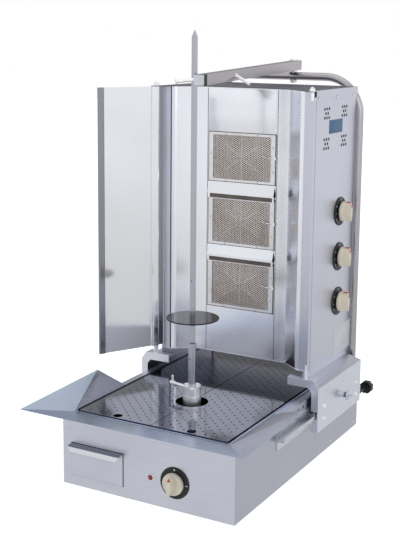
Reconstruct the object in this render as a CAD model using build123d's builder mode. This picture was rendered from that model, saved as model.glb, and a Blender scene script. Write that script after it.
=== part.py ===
# Gas doner kebab grill: base cabinet with a driven skewer, a burner housing on side rails,
# a rear tube frame with a steadying arm. Millimetres, +Z up, -Y to the cook.
# The origin is the middle of the cabinet's underside.
import os
from math import atan2, cos, degrees, radians, sin, sqrt

from build123d import *

os.makedirs("parts", exist_ok=True)

# sheet and clearances
sheet = 1.5
thick_sheet = 2.0
slip = 0.3
sheet_gap = 1.0
fit = 0.05

# base cabinet
base_width = 460.0
base_depth = 726.0
base_height = 174.0
front = -base_depth / 2
rear = base_depth / 2
half_base = base_width / 2

# catch tray and the two perforated deck plates in it
deck_half_width = 198.0
deck_front = front + 25.0
deck_length = 600.0
deck_top = base_height + 4.0
tray_gap = 3.0
tray_floor_z = 150.0
tray_border = 6.0
flare_front_reach = 97.0
flare_side_reach = 84.0
flare_rise = 20.0
flare_rear_rise = 29.0
flare_length = 220.0
drain_radius = 15.0
drain_drop = 36.0
drain_x = -130.0
drain_y = front + 120.0
plate_gap = 2.0
hole_diameter = 5.0
hole_pitch = 28.0
hole_margin = 20.0
finger_hole = 22.0
finger_inset = 13.0

# skewer drive
spit_y = front + 212.0
hub_radius = 22.0
hub_bottom = 156.0
hub_top = 219.0
hub_clearance_hole = 40.0
collar_bore = 14.0
collar_height = 18.0
shaft_radius = 10.0
shaft_top = 200.0
shaft_turn = -14.0
skewer_side = 10.0
skewer_tip_z = 1066.0
skewer_point = 16.0
socket_depth = 14.0
sleeve_wall = 2.1
sleeve_top = 325.0
disc_radius = 64.0
disc_thickness = 3.0
disc_z = 385.0
disc_boss_radius = 15.0
disc_boss_height = 14.0
clamp_radius = 4.0
clamp_reach = 66.0
clamp_z = 204.0
clamp_bar_length = 38.0
gearbox_width = 104.0
gearbox_height = 62.0
gearbox_top = 132.0
motor_radius = 34.0
motor_length = 120.0

# fat drawer and front controls
drawer_left = -204.0
drawer_right = -60.0
drawer_bottom = 26.0
drawer_top = 105.0
drawer_depth = 380.0
lip_reach = 20.0
lip_drop = 12.0
control_z = 65.5
switch_x = 78.5
lamp_x = 15.0
bezel_radius = 37.0
bezel_thickness = 3.0
knob_radius = 26.0
knob_height = 11.0
grip_height = 15.0
grip_width = 15.0

# rails and brackets that carry the housing
rail_front = front + 207.0
rail_rear = front + 690.0
rail_z = 122.0
rail_height = 12.0
rail_width = 18.0
rail_web_bottom = 100.0
rail_web_top = 148.5
bracket_x = 255.5
bracket_front = front + 388.0
bracket_rear = front + 675.0
bracket_bottom = 88.0
bracket_top = 201.0
bracket_join_z = 213.0
bracket_flange = 18.0
tab_top = 220.0
tab_height = 20.0
tab_inner = 172.0
lock_radius = 3.0
star_x = 249.5
star_z = 104.0
star_radius = 17.0
star_stem = 3.5
star_reach = 53.0

# burner housing
house_half_width = 211.5
house_front = front + 418.0
house_rear = front + 694.0
house_bottom = 187.0
house_top = 924.0
floor_z = 231.0
wall_y = front + 458.0
wall_half = 98.8
fold_x = 130.4
reflector_x = 172.0
pillar_width = 24.0
panel_relief = 0.8
top_hem = 15.0
burner_count = 3
burner_pitch = 165.3
burner_top_z = 747.5
frame_width = 188.0
frame_height = 125.0
window_width = 164.0
window_height = 113.0
ceramic_thickness = 13.0
mesh_pitch = 9.0
mesh_wire = 1.1
hood_reach = 9.0
hood_rise = 31.5
hood_lip = 6.0
hood_skirt_reach = 5.0
hood_skirt_drop = 12.0
plenum_depth = 42.0
knob_y = front + 600.0
knob_top_z = 610.0
knob_pitch = 118.5
knob_push = 4.0
inlet_x = 172.0
inlet_z = 268.0
inlet_radius = 10.5

# mirror shield and its pins
pin_x = 216.0
pin_y = front + 396.0
pin_radius = 4.0
pin_fit = 0.1
shield_bottom = 240.0
shield_top = 923.5
shield_length = 168.0
shield_post_front = 17.0
shield_post_rear = 8.0
shield_seal_reach = 20.5
shield_post_depth = 12.0
shield_angle = 241.0

# rear frame and steadying arm
tube_radius = 10.5
tube_wall = 1.5
leg_x = 217.0
leg_y = front + 706.0
leg_bottom = 20.0
crossbar_z = 947.0
bend_radius = 97.0
arm_x = 25.0
arm_side = 25.0
arm_wall = 2.0
arm_front = spit_y - 21.0
arm_rear = leg_y + 24.0
arm_front_z = 953.0
arm_pivot_z = 975.0
bolt_radius = 5.0
guide_rod_radius = 4.0
guide_reach = 20.0
arm_grip_y = front + 345.0
arm_grip_length = 40.0

well_half = deck_half_width + tray_gap
well_length = deck_length + 2 * tray_gap
well_front = deck_front - tray_gap
well_mid_y = deck_front + deck_length / 2
drawer_mid = (drawer_left + drawer_right) / 2
shaft_plane = Plane(origin=(0, spit_y, 0), x_dir=(cos(radians(shaft_turn)), sin(radians(shaft_turn)), 0))


def save(builder, name):
    """Label one finished sub-part and write it."""
    builder.part.label = name
    export_step(builder.part, f"parts/{name}.step")


def folded_facet(*corners):
    """One flat facet of a folded sheet, given its corners on the lower face."""
    extrude(Face(Wire.make_polygon([Vector(*c) for c in corners])), amount=sheet, dir=(0, 0, 1))


# base cabinet: folded sheet shell, open underneath, with a top flange that carries the tray
with BuildPart() as base_cabinet:
    with BuildSketch():
        Rectangle(base_width, base_depth)
    extrude(amount=base_height)
    fillet(base_cabinet.edges().filter_by(Axis.Z), radius=2)
    with BuildSketch():
        Rectangle(base_width - 2 * sheet, base_depth - 2 * sheet)
    extrude(amount=base_height - sheet, mode=Mode.SUBTRACT)
    with BuildSketch(Plane.XY.offset(base_height - sheet)):
        with Locations((0, well_mid_y)):
            well_edge = 2 * (sheet + sheet_gap)
            Rectangle(2 * well_half + well_edge, well_length + well_edge)
    extrude(amount=sheet, mode=Mode.SUBTRACT)
    with BuildSketch(Plane.XZ.offset(-front)):
        with Locations((drawer_mid, (drawer_bottom + drawer_top) / 2)):
            Rectangle(drawer_right - drawer_left - 12, drawer_top - drawer_bottom - 8)
        with Locations((switch_x, control_z)):
            Circle(6)
        with Locations((lamp_x, control_z)):
            Circle(6.5)
    extrude(amount=-2 * sheet, mode=Mode.SUBTRACT)
    with BuildSketch(Plane.YZ.offset(-half_base)):
        vent_count = 14
        with Locations((rail_front + 10 + hole_pitch * (vent_count - 1) / 2, base_height - 12)):
            with GridLocations(hole_pitch, 1, vent_count, 1):
                Circle(3.5)
    extrude(amount=base_width, mode=Mode.SUBTRACT)
    with BuildSketch(Plane.XY.offset(base_height - sheet)):
        with Locations((leg_x, leg_y), (-leg_x, leg_y)):
            Circle(tube_radius + slip)
    extrude(amount=sheet, mode=Mode.SUBTRACT)
    with BuildSketch(Plane.XZ.offset(-rear)):
        with Locations((80, 60)):
            Circle(11)
    extrude(amount=2 * sheet, mode=Mode.SUBTRACT)
save(base_cabinet, "base_cabinet")


# catch tray: the well under the deck, and the three flared flaps that fold up around it
border_front = well_front - tray_border
border_half = well_half + tray_border
flare_side_end = border_front + sheet + flare_length
with BuildPart() as catch_tray:
    with BuildSketch(Plane.XY.offset(tray_floor_z - sheet)):
        with Locations((0, well_mid_y)):
            Rectangle(2 * (well_half + sheet), well_length + 2 * sheet)
    extrude(amount=base_height + sheet - tray_floor_z + sheet)
    with BuildSketch(Plane.XY.offset(base_height)):
        with Locations((0, well_mid_y)):
            Rectangle(2 * border_half, well_length + 2 * tray_border)
    extrude(amount=sheet)
    with BuildSketch(Plane.XY.offset(tray_floor_z)):
        with Locations((0, well_mid_y)):
            Rectangle(2 * well_half, well_length)
    extrude(amount=base_height, mode=Mode.SUBTRACT)
    tip_z = base_height + flare_rise
    tip_y = border_front - flare_front_reach
    tip_x = border_half + flare_side_reach
    folded_facet(
        (-border_half, border_front, base_height),
        (border_half, border_front, base_height),
        (tip_x, tip_y, tip_z),
        (-tip_x, tip_y, tip_z),
    )
    for side in (-1, 1):
        root = (side * border_half, border_front, base_height)
        tip = (side * tip_x, tip_y, tip_z)
        back_corner = (side * tip_x, flare_side_end - 5, base_height + flare_rear_rise)
        back_root = (side * border_half, flare_side_end, base_height)
        folded_facet(root, back_corner, tip)
        folded_facet(root, back_root, back_corner)
    with BuildSketch(Plane.XY.offset(tray_floor_z - sheet)):
        with Locations((0, spit_y)):
            Circle(collar_bore + sheet)
    extrude(amount=collar_height)
    with BuildSketch(Plane.XY.offset(tray_floor_z - sheet - drain_drop)):
        with Locations((drain_x, drain_y)):
            Circle(drain_radius + sheet)
    extrude(amount=drain_drop)
    with Locations((0, spit_y, tray_floor_z)):
        Hole(collar_bore, depth=100)
    with Locations((drain_x, drain_y, tray_floor_z)):
        Hole(drain_radius, depth=100)
save(catch_tray, "catch_tray")


# two perforated deck plates with turned-down edges that stand on the tray floor
def deck_plate(side):
    """Half of the deck; side is -1 for the left half and 1 for the right."""
    inner = plate_gap / 2
    width = deck_half_width - inner
    mid_x = side * (inner + width / 2)
    with BuildPart() as plate:
        with BuildSketch(Plane.XY.offset(tray_floor_z)):
            with Locations((mid_x, well_mid_y)):
                Rectangle(width, deck_length)
        extrude(amount=deck_top - tray_floor_z)
        with BuildSketch(Plane.XY.offset(tray_floor_z)):
            with Locations((mid_x, well_mid_y)):
                Rectangle(width - 2 * sheet, deck_length - 2 * sheet)
        extrude(amount=deck_top - tray_floor_z - sheet, mode=Mode.SUBTRACT)
        columns = int((width - 2 * hole_margin) / hole_pitch) + 1
        rows = int((deck_length - 2 * hole_margin) / hole_pitch) + 1
        with BuildSketch(Plane.XY.offset(deck_top - sheet)):
            with Locations((mid_x - hole_pitch / 4, well_mid_y - hole_pitch / 4)):
                with GridLocations(hole_pitch, hole_pitch, columns, rows):
                    RegularPolygon(hole_diameter / 2, 4)
            with Locations((mid_x + hole_pitch / 4, well_mid_y + hole_pitch / 4)):
                with GridLocations(hole_pitch, hole_pitch, columns, rows):
                    RegularPolygon(hole_diameter / 2, 4)
            with Locations((side * deck_half_width / 2, deck_front + finger_inset)):
                Circle(finger_hole / 2)
        extrude(amount=sheet, mode=Mode.SUBTRACT)
        with BuildSketch(Plane.XY.offset(tray_floor_z)):
            with Locations((0, spit_y)):
                Circle(hub_clearance_hole)
        extrude(amount=deck_top - tray_floor_z, mode=Mode.SUBTRACT)
    return plate


save(deck_plate(-1), "deck_plate_left")
save(deck_plate(1), "deck_plate_right")


# gearmotor under the tray: a gearbox on a cradle, a round motor behind it
gearbox_bottom = gearbox_top - gearbox_height
motor_z = gearbox_bottom + gearbox_height / 2
with BuildPart() as gearbox:
    with BuildSketch(Plane.XY.offset(gearbox_bottom)):
        with Locations((0, spit_y)):
            RectangleRounded(gearbox_width, gearbox_width, 8)
    extrude(amount=gearbox_height)
    fillet(gearbox.edges().group_by(Axis.Z)[-1], radius=3)
    with BuildSketch(Plane.XY.offset(gearbox_top)):
        with Locations((0, spit_y)):
            Circle(shaft_radius + 8)
    extrude(amount=6)
    with Locations((0, spit_y, gearbox_top + 6)):
        Hole(shaft_radius + fit, depth=gearbox_height / 2)
save(gearbox, "gearbox")

with BuildPart() as drive_motor:
    motor_front = spit_y + gearbox_width / 2
    with BuildSketch(Plane.XZ.offset(-motor_front)):
        with Locations((0, motor_z)):
            Circle(motor_radius - 4)
    extrude(amount=-8)
    with BuildSketch(Plane.XZ.offset(-(motor_front + 8))):
        with Locations((0, motor_z)):
            Circle(motor_radius)
    extrude(amount=-motor_length)
    with BuildSketch(Plane.XZ.offset(-(motor_front + 16))):
        with Locations((0, motor_z)):
            with PolarLocations(motor_radius, 12):
                Rectangle(4, 2.4)
    extrude(amount=-(motor_length - 24))
    chamfer(drive_motor.edges().group_by(Axis.Y)[-1], length=4)
save(drive_motor, "drive_motor")

with BuildPart() as motor_cradle:
    cradle_width = gearbox_width + 2 * (thick_sheet + slip)
    foot_width = 11.0
    foot_top = sheet + thick_sheet
    with BuildSketch(Plane.XZ.offset(-(spit_y + gearbox_width / 2 - 6))):
        with BuildLine():
            Polyline(
                (-cradle_width / 2 - foot_width, sheet),
                (cradle_width / 2 + foot_width, sheet),
                (cradle_width / 2 + foot_width, foot_top),
                (cradle_width / 2, foot_top),
                (cradle_width / 2, gearbox_bottom),
                (-cradle_width / 2, gearbox_bottom),
                (-cradle_width / 2, foot_top),
                (-cradle_width / 2 - foot_width, foot_top),
                close=True,
            )
        make_face()
        with Locations((0, (gearbox_bottom - thick_sheet + sheet) / 2)):
            Rectangle(cradle_width - 2 * thick_sheet, gearbox_bottom - thick_sheet - sheet, mode=Mode.SUBTRACT)
    extrude(amount=gearbox_width - 12)
    with BuildSketch():
        with Locations((0, spit_y)):
            with GridLocations(cradle_width + foot_width, gearbox_width - 40, 2, 2):
                Circle(3.2)
    extrude(amount=foot_top, mode=Mode.SUBTRACT)
save(motor_cradle, "motor_cradle")

# bottom plate between the cabinet walls; the cradle stands on it
with BuildPart() as bottom_plate:
    with BuildSketch():
        Rectangle(base_width - 2 * (sheet + slip), base_depth - 2 * (sheet + slip))
    extrude(amount=sheet)
    with BuildSketch():
        with Locations((drawer_mid + 250, 150)):
            with GridLocations(20, 60, 6, 3):
                SlotOverall(46, 7, rotation=90)
    extrude(amount=sheet, mode=Mode.SUBTRACT)
save(bottom_plate, "bottom_plate")


# output shaft, hub with a square socket, T-handled clamp screw, square skewer and its sleeve
with BuildPart() as output_shaft:
    with BuildSketch(shaft_plane.offset(gearbox_top + 6 - gearbox_height / 2 + 1)):
        Circle(shaft_radius)
    extrude(amount=shaft_top - (gearbox_top + 6 - gearbox_height / 2 + 1))
    chamfer(output_shaft.edges().group_by(Axis.Z)[-1], length=1)
save(output_shaft, "output_shaft")

skewer_half_diagonal = skewer_side / sqrt(2)
with BuildPart() as hub:
    with BuildSketch(shaft_plane.offset(hub_bottom)):
        Circle(hub_radius)
    extrude(amount=hub_top - hub_bottom)
    groove_z = hub_bottom + 0.62 * (hub_top - hub_bottom)
    with BuildSketch(shaft_plane.offset(groove_z)):
        Circle(hub_radius)
        Circle(hub_radius - 1, mode=Mode.SUBTRACT)
    extrude(amount=2, mode=Mode.SUBTRACT)
    with BuildSketch(shaft_plane.offset(hub_top - 4)):
        with PolarLocations(hub_radius, 4, start_angle=45):
            Rectangle(12, 9)
    extrude(amount=4, mode=Mode.SUBTRACT)
    fillet(hub.edges().group_by(Axis.Z)[0].filter_by(GeomType.CIRCLE), radius=1)
    collar_clearance = 2.0
    with BuildSketch(shaft_plane.offset(hub_bottom)):
        Circle(collar_bore + sheet + collar_clearance)
    extrude(amount=tray_floor_z - sheet + collar_height + collar_clearance - hub_bottom, mode=Mode.SUBTRACT)
    with BuildSketch(shaft_plane.offset(hub_bottom)):
        Circle(shaft_radius + fit)
    extrude(amount=shaft_top + 0.5 - hub_bottom, mode=Mode.SUBTRACT)
    with BuildSketch(shaft_plane.offset(hub_top - socket_depth)):
        Rectangle(skewer_side + 2 * fit, skewer_side + 2 * fit)
    extrude(amount=socket_depth, mode=Mode.SUBTRACT)
    with BuildSketch(Plane(origin=shaft_plane.origin + Vector(0, 0, clamp_z + 6), x_dir=shaft_plane.y_dir,
                           z_dir=-shaft_plane.x_dir)):
        Circle(clamp_radius + fit)
    extrude(amount=hub_radius + 1, mode=Mode.SUBTRACT)
save(hub, "hub")

clamp_plane = Plane(origin=shaft_plane.origin + Vector(0, 0, clamp_z + 6), x_dir=shaft_plane.y_dir,
                    z_dir=-shaft_plane.x_dir)
clamp_start = skewer_side / 2 + slip
with BuildPart() as clamp_screw:
    with BuildSketch(clamp_plane.offset(clamp_start)):
        Circle(clamp_radius)
    extrude(amount=clamp_reach - clamp_start + 3)
    with BuildSketch(clamp_plane.offset(clamp_reach - 6)):
        Circle(clamp_radius + 1.5)
    extrude(amount=11)
    bar_plane = Plane(origin=clamp_plane.origin + clamp_plane.z_dir * clamp_reach, z_dir=(0, 0, 1))
    with BuildSketch(bar_plane.offset(-clamp_bar_length / 2)):
        Circle(3)
    extrude(amount=clamp_bar_length)
    fillet(clamp_screw.edges().group_by(Axis.Z)[-1], radius=1.5)
    fillet(clamp_screw.edges().group_by(Axis.Z)[0], radius=1.5)
save(clamp_screw, "clamp_screw")

with BuildPart() as skewer:
    skewer_foot = hub_top - socket_depth + fit
    shoulder_z = skewer_tip_z - skewer_point
    with BuildSketch(shaft_plane.offset(skewer_foot)):
        Rectangle(skewer_side, skewer_side)
    extrude(amount=shoulder_z - skewer_foot)
    with BuildSketch(shaft_plane.offset(shoulder_z)):
        Rectangle(skewer_side, skewer_side)
    extrude(amount=skewer_point, taper=degrees(atan2(skewer_side / 2 - 0.5, skewer_point)))
    hole_plane = Plane(origin=shaft_plane.origin + Vector(0, 0, 478), x_dir=shaft_plane.x_dir,
                       z_dir=-shaft_plane.y_dir)
    with BuildSketch(hole_plane.offset(-skewer_side)):
        Circle(2)
    extrude(amount=2 * skewer_side, mode=Mode.SUBTRACT)
save(skewer, "skewer")

with BuildPart() as skewer_sleeve:
    sleeve_bore = skewer_half_diagonal + 0.1
    with BuildSketch(shaft_plane.offset(hub_top)):
        Circle(sleeve_bore + sleeve_wall)
        Circle(sleeve_bore, mode=Mode.SUBTRACT)
    extrude(amount=sleeve_top - hub_top)
    chamfer(skewer_sleeve.edges().group_by(Axis.Z)[-1], length=0.5)
    hole_plane = Plane(origin=shaft_plane.origin + Vector(0, 0, 286), x_dir=shaft_plane.x_dir,
                       z_dir=-shaft_plane.y_dir)
    with BuildSketch(hole_plane):
        Circle(2)
    extrude(amount=2 * skewer_side, mode=Mode.SUBTRACT)
save(skewer_sleeve, "skewer_sleeve")

with BuildPart() as meat_disc:
    with BuildSketch(shaft_plane.offset(disc_z)):
        Circle(disc_radius)
    extrude(amount=disc_thickness)
    fillet(meat_disc.edges(), radius=1)
    with BuildSketch(shaft_plane.offset(disc_z - disc_boss_height)):
        Circle(disc_boss_radius)
    extrude(amount=disc_boss_height)
    with BuildSketch(shaft_plane.offset(disc_z - disc_boss_height)):
        Rectangle(skewer_side + 0.6, skewer_side + 0.6)
    extrude(amount=disc_boss_height + disc_thickness, mode=Mode.SUBTRACT)
save(meat_disc, "meat_disc")


# fat drawer: an open box on two runners, with a front panel folded over into a lip
with BuildPart() as drawer_front:
    with BuildSketch(Plane.YZ.offset(drawer_left)):
        with BuildLine():
            Polyline(
                (front, drawer_bottom),
                (front, drawer_top),
                (front - lip_reach, drawer_top - 3),
                (front - lip_reach, drawer_top - 3 - lip_drop),
                (front - lip_reach + sheet, drawer_top - 3 - lip_drop),
                (front - lip_reach + sheet, drawer_top - 3 - sheet),
                (front - thick_sheet, drawer_top - sheet),
                (front - thick_sheet, drawer_bottom),
                close=True,
            )
        make_face()
    extrude(amount=drawer_right - drawer_left)
    with BuildSketch(Plane.XZ.offset(-(front - lip_reach - 1))):
        for end in (drawer_left, drawer_right):
            inward = 10 if end == drawer_left else -10
            with BuildLine():
                Polyline(
                    (end, drawer_top - 3 - lip_drop),
                    (end + inward, drawer_top - 3 - lip_drop),
                    (end, drawer_top - 5),
                    close=True,
                )
            make_face()
    extrude(amount=-(lip_reach - 4), mode=Mode.SUBTRACT)
save(drawer_front, "drawer_front")

with BuildPart() as drawer_box:
    box_left = drawer_left + 8
    box_right = drawer_right - 8
    box_bottom = drawer_bottom + 6
    box_top = drawer_top - 6
    with BuildSketch(Plane.XY.offset(box_bottom)):
        with Locations((drawer_mid, front + drawer_depth / 2)):
            Rectangle(box_right - box_left, drawer_depth)
    extrude(amount=box_top - box_bottom)
    with BuildSketch(Plane.XY.offset(box_bottom + sheet)):
        with Locations((drawer_mid, front + drawer_depth / 2)):
            Rectangle(box_right - box_left - 2 * sheet, drawer_depth - 2 * sheet)
    extrude(amount=box_top - box_bottom, mode=Mode.SUBTRACT)
save(drawer_box, "drawer_box")

with BuildPart() as drawer_runners:
    for side, edge in ((-1, drawer_left + 8), (1, drawer_right - 8)):
        guide = edge + side * slip
        outer = guide + side * sheet
        with BuildSketch(Plane.XZ.offset(-(front + 6))):
            with BuildLine():
                Polyline(
                    (guide, drawer_bottom + 40),
                    (outer, drawer_bottom + 40),
                    (outer, sheet),
                    (outer - side * 16, sheet),
                    (outer - side * 16, 2 * sheet),
                    (guide, 2 * sheet),
                    close=True,
                )
            make_face()
            with BuildLine():
                Polyline(
                    (guide, drawer_bottom + 6 - slip),
                    (guide - side * 10, drawer_bottom + 6 - slip),
                    (guide - side * 10, drawer_bottom + 6 - slip - sheet),
                    (guide, drawer_bottom + 6 - slip - sheet),
                    close=True,
                )
            make_face()
        extrude(amount=-(drawer_depth + 20))
save(drawer_runners, "drawer_runners")


# rotary controls share one knob form: a disc with a raised oval grip bar
def control_knob(plane, shaft_length, grip_turn):
    """A knob whose back lies on the plane, with a bore for its spindle."""
    with BuildPart() as knob:
        with BuildSketch(plane):
            Circle(knob_radius)
        extrude(amount=knob_height, taper=6)
        fillet(knob.faces().sort_by(SortBy.AREA)[-1].edges(), radius=1.2)
        with BuildSketch(plane.offset(knob_height - 1)):
            SlotOverall(2 * (knob_radius - 2.5), grip_width, rotation=grip_turn)
        extrude(amount=grip_height + 1, taper=5)
        with BuildSketch(plane):
            Circle(3 + fit)
        extrude(amount=shaft_length, mode=Mode.SUBTRACT)
    return knob


def dial_rings(*planes):
    """The round dial plates that lie behind the knobs, one on each plane."""
    with BuildPart() as rings:
        for plane in planes:
            with BuildSketch(plane):
                Circle(bezel_radius)
                Circle(6, mode=Mode.SUBTRACT)
            extrude(amount=bezel_thickness)
        chamfer(rings.edges().filter_by(GeomType.CIRCLE).group_by(SortBy.RADIUS)[-1], length=1)
    return rings


switch_plane = Plane(origin=(switch_x, front, control_z), x_dir=(1, 0, 0), z_dir=(0, -1, 0))
save(dial_rings(switch_plane), "switch_dial")
save(control_knob(switch_plane.offset(bezel_thickness + 1), 14, 68), "switch_knob")

with BuildPart() as rotary_switch:
    with BuildSketch(switch_plane.offset(-sheet)):
        RectangleRounded(44, 44, 3)
    extrude(amount=-38)
    with BuildSketch(switch_plane.offset(-sheet)):
        Circle(5)
    extrude(amount=sheet + bezel_thickness)
    with BuildSketch(switch_plane.offset(bezel_thickness)):
        Circle(3)
    extrude(amount=-25, mode=Mode.SUBTRACT)
save(rotary_switch, "rotary_switch")

with BuildPart() as switch_spindle:
    with BuildSketch(switch_plane.offset(bezel_thickness + 12)):
        Circle(3 - fit)
    extrude(amount=-30)
save(switch_spindle, "switch_spindle")

lamp_plane = Plane(origin=(lamp_x, front, control_z), x_dir=(1, 0, 0), z_dir=(0, -1, 0))
with BuildPart() as indicator_lamp:
    with BuildSketch(lamp_plane):
        Circle(8.5)
    extrude(amount=2)
    chamfer(indicator_lamp.edges().group_by(Axis.Y)[0], length=0.8)
    with BuildSketch(lamp_plane):
        Circle(6.2)
    extrude(amount=4.5)
    fillet(indicator_lamp.edges().group_by(Axis.Y)[0], radius=2)
    with BuildSketch(lamp_plane):
        Circle(6)
    extrude(amount=-26)
save(indicator_lamp, "indicator_lamp")

# fixed rails: a web on the cabinet wall and a channel open upwards
rail_outer = half_base + thick_sheet + rail_width
with BuildPart() as slide_rails:
    with BuildSketch(Plane.XZ.offset(-rail_front)):
        with BuildLine():
            Polyline(
                (half_base, rail_web_bottom),
                (half_base, rail_web_top),
                (half_base + thick_sheet, rail_web_top),
                (half_base + thick_sheet, rail_z + sheet),
                (rail_outer - sheet, rail_z + sheet),
                (rail_outer - sheet, rail_z + rail_height),
                (rail_outer, rail_z + rail_height),
                (rail_outer, rail_z),
                (half_base + thick_sheet, rail_z),
                (half_base + thick_sheet, rail_web_bottom),
                close=True,
            )
        make_face()
    extrude(amount=-(rail_rear - rail_front))
    mirror(about=Plane.YZ)
save(slide_rails, "slide_rails")

# sliding runners: a foot in the channel, a neck and a plate behind the bracket
runner_front = bracket_front + 14
runner_rear = bracket_rear - 8
runner_plate_outer = bracket_x - thick_sheet
foot_mid = half_base + thick_sheet + (rail_width - sheet) / 2
screw_rows = (bracket_front + 42, bracket_rear - 30)
screw_heights = (rail_z - 8, rail_z + 24)
lock_y = bracket_front + 152
lock_z = rail_z + 23
with BuildPart() as slide_runners:
    with BuildSketch(Plane.XZ.offset(-runner_front)):
        with BuildLine():
            foot_half = (rail_width - sheet) / 2 - slip
            neck_half = 2.0
            foot_z = rail_z + sheet + slip
            neck_z = foot_z + 6
            shelf_z = rail_z + rail_height + 2
            Polyline(
                (foot_mid - foot_half, foot_z),
                (foot_mid + foot_half, foot_z),
                (foot_mid + foot_half, neck_z),
                (foot_mid + neck_half, neck_z),
                (foot_mid + neck_half, shelf_z),
                (runner_plate_outer - thick_sheet, shelf_z),
                (runner_plate_outer - thick_sheet, rail_web_bottom + 6),
                (runner_plate_outer, rail_web_bottom + 6),
                (runner_plate_outer, rail_web_top + 6),
                (runner_plate_outer - thick_sheet, rail_web_top + 6),
                (runner_plate_outer - thick_sheet, shelf_z + thick_sheet),
                (foot_mid - neck_half, shelf_z + thick_sheet),
                (foot_mid - neck_half, neck_z),
                (foot_mid - foot_half, neck_z),
                close=True,
            )
        make_face()
    extrude(amount=-(runner_rear - runner_front))
    for y in screw_rows:
        for z in screw_heights:
            with BuildSketch(Plane.YZ.offset(runner_plate_outer)):
                with Locations((y, z)):
                    Circle(2.5 + fit)
            extrude(amount=-3 * thick_sheet, mode=Mode.SUBTRACT)
    with BuildSketch(Plane.YZ.offset(runner_plate_outer)):
        with Locations((lock_y, lock_z)):
            Circle(lock_radius + slip)
    extrude(amount=-3 * thick_sheet, mode=Mode.SUBTRACT)
    mirror(about=Plane.YZ)
save(slide_runners, "slide_runners")

# folded side brackets: a flange on the housing, a sloping shelf, the plate and a front return
flange_inner = bracket_x - bracket_flange


def housing_bracket(side):
    """The bracket on one side; side is -1 for the left and 1 for the right."""
    with BuildPart() as bracket:
        with BuildSketch(Plane.XZ.offset(-bracket_front)):
            with BuildLine():
                Polyline(
                    (side * house_half_width, house_bottom + 2),
                    (side * (house_half_width + thick_sheet), house_bottom + 2),
                    (side * (house_half_width + thick_sheet), bracket_join_z - 2.5),
                    (side * (bracket_x - thick_sheet), bracket_top - 2),
                    (side * (bracket_x - thick_sheet), bracket_bottom),
                    (side * bracket_x, bracket_bottom),
                    (side * bracket_x, bracket_top),
                    (side * house_half_width, bracket_join_z),
                    close=True,
                )
            make_face()
        extrude(amount=-(bracket_rear - bracket_front))
        with BuildSketch(Plane.XY.offset(bracket_bottom)):
            with Locations((side * house_half_width, bracket_front)):
                Rectangle(5 * thick_sheet, 2 * (house_front - bracket_front + slip))
        extrude(amount=bracket_join_z - bracket_bottom, mode=Mode.SUBTRACT)
        with BuildSketch(Plane.XZ.offset(-bracket_front)):
            with BuildLine():
                Polyline(
                    (side * tab_inner, tab_top - tab_height),
                    (side * tab_inner, tab_top),
                    (side * (bracket_x - 14), tab_top),
                    (side * bracket_x, bracket_top),
                    (side * bracket_x, bracket_bottom),
                    (side * flange_inner, bracket_bottom),
                    (side * flange_inner, bracket_top - 12),
                    (side * (flange_inner - 9), tab_top - tab_height),
                    close=True,
                )
            make_face()
            with Locations((side * (flange_inner + rail_width / 2), rail_z + 5)):
                Rectangle(rail_width + 4, rail_height + 16, mode=Mode.SUBTRACT)
        extrude(amount=-thick_sheet)
        with BuildSketch(Plane.XY.offset(tab_top - thick_sheet)):
            with Locations((side * (tab_inner + bracket_x - 14) / 2, (bracket_front + house_front - slip) / 2)):
                Rectangle(bracket_x - 14 - tab_inner, house_front - slip - bracket_front)
        extrude(amount=thick_sheet)
        with BuildSketch(Plane.XY.offset(tab_top)):
            with Locations((side * pin_x, pin_y)):
                Circle(pin_radius)
        extrude(amount=34)
        with BuildSketch(Plane.XY.offset(tab_top)):
            with Locations((side * pin_x, pin_y)):
                Circle(6.5)
        extrude(amount=shield_bottom - slip - tab_top)
        for y in screw_rows:
            for z in screw_heights:
                with BuildSketch(Plane.YZ.offset(side * bracket_x)):
                    with Locations((y, z)):
                        Circle(2.5 + fit)
                extrude(amount=-side * 2 * thick_sheet, mode=Mode.SUBTRACT)
        if side > 0:
            with BuildSketch(Plane.YZ.offset(bracket_x)):
                with Locations((lock_y, lock_z)):
                    Circle(5 + fit)
            extrude(amount=-2 * thick_sheet, mode=Mode.SUBTRACT)
            with BuildSketch(Plane.XZ.offset(-bracket_rear)):
                with Locations((star_x, star_z)):
                    Rectangle(2 * (bracket_x - star_x), 28)
                    Circle(star_stem + fit, mode=Mode.SUBTRACT)
            extrude(amount=thick_sheet)
    return bracket


save(housing_bracket(-1), "bracket_left")
save(housing_bracket(1), "bracket_right")

with BuildPart() as bracket_screws:
    for side in (-1, 1):
        for y in screw_rows:
            for z in screw_heights:
                head_plane = Plane(origin=(side * bracket_x, y, z), z_dir=(side, 0, 0))
                with BuildSketch(head_plane):
                    Circle(6)
                extrude(amount=3.2, taper=22)
                with BuildSketch(head_plane):
                    Circle(2.5)
                extrude(amount=-2 * thick_sheet)
save(bracket_screws, "bracket_screws")

# side lock: a threaded stud through a hex collar in the right bracket, turned by a thin wing nut
lock_plane = Plane(origin=(bracket_x, lock_y, lock_z), x_dir=(0, 1, 0), z_dir=(1, 0, 0))
with BuildPart() as lock_collar:
    with BuildSketch(lock_plane):
        RegularPolygon(8.5, 6)
    extrude(amount=9)
    with BuildSketch(lock_plane):
        Circle(5)
    extrude(amount=-thick_sheet)
    with BuildSketch(lock_plane.offset(-thick_sheet)):
        Circle(lock_radius + fit)
    extrude(amount=20, mode=Mode.SUBTRACT)
save(lock_collar, "lock_collar")

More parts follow.
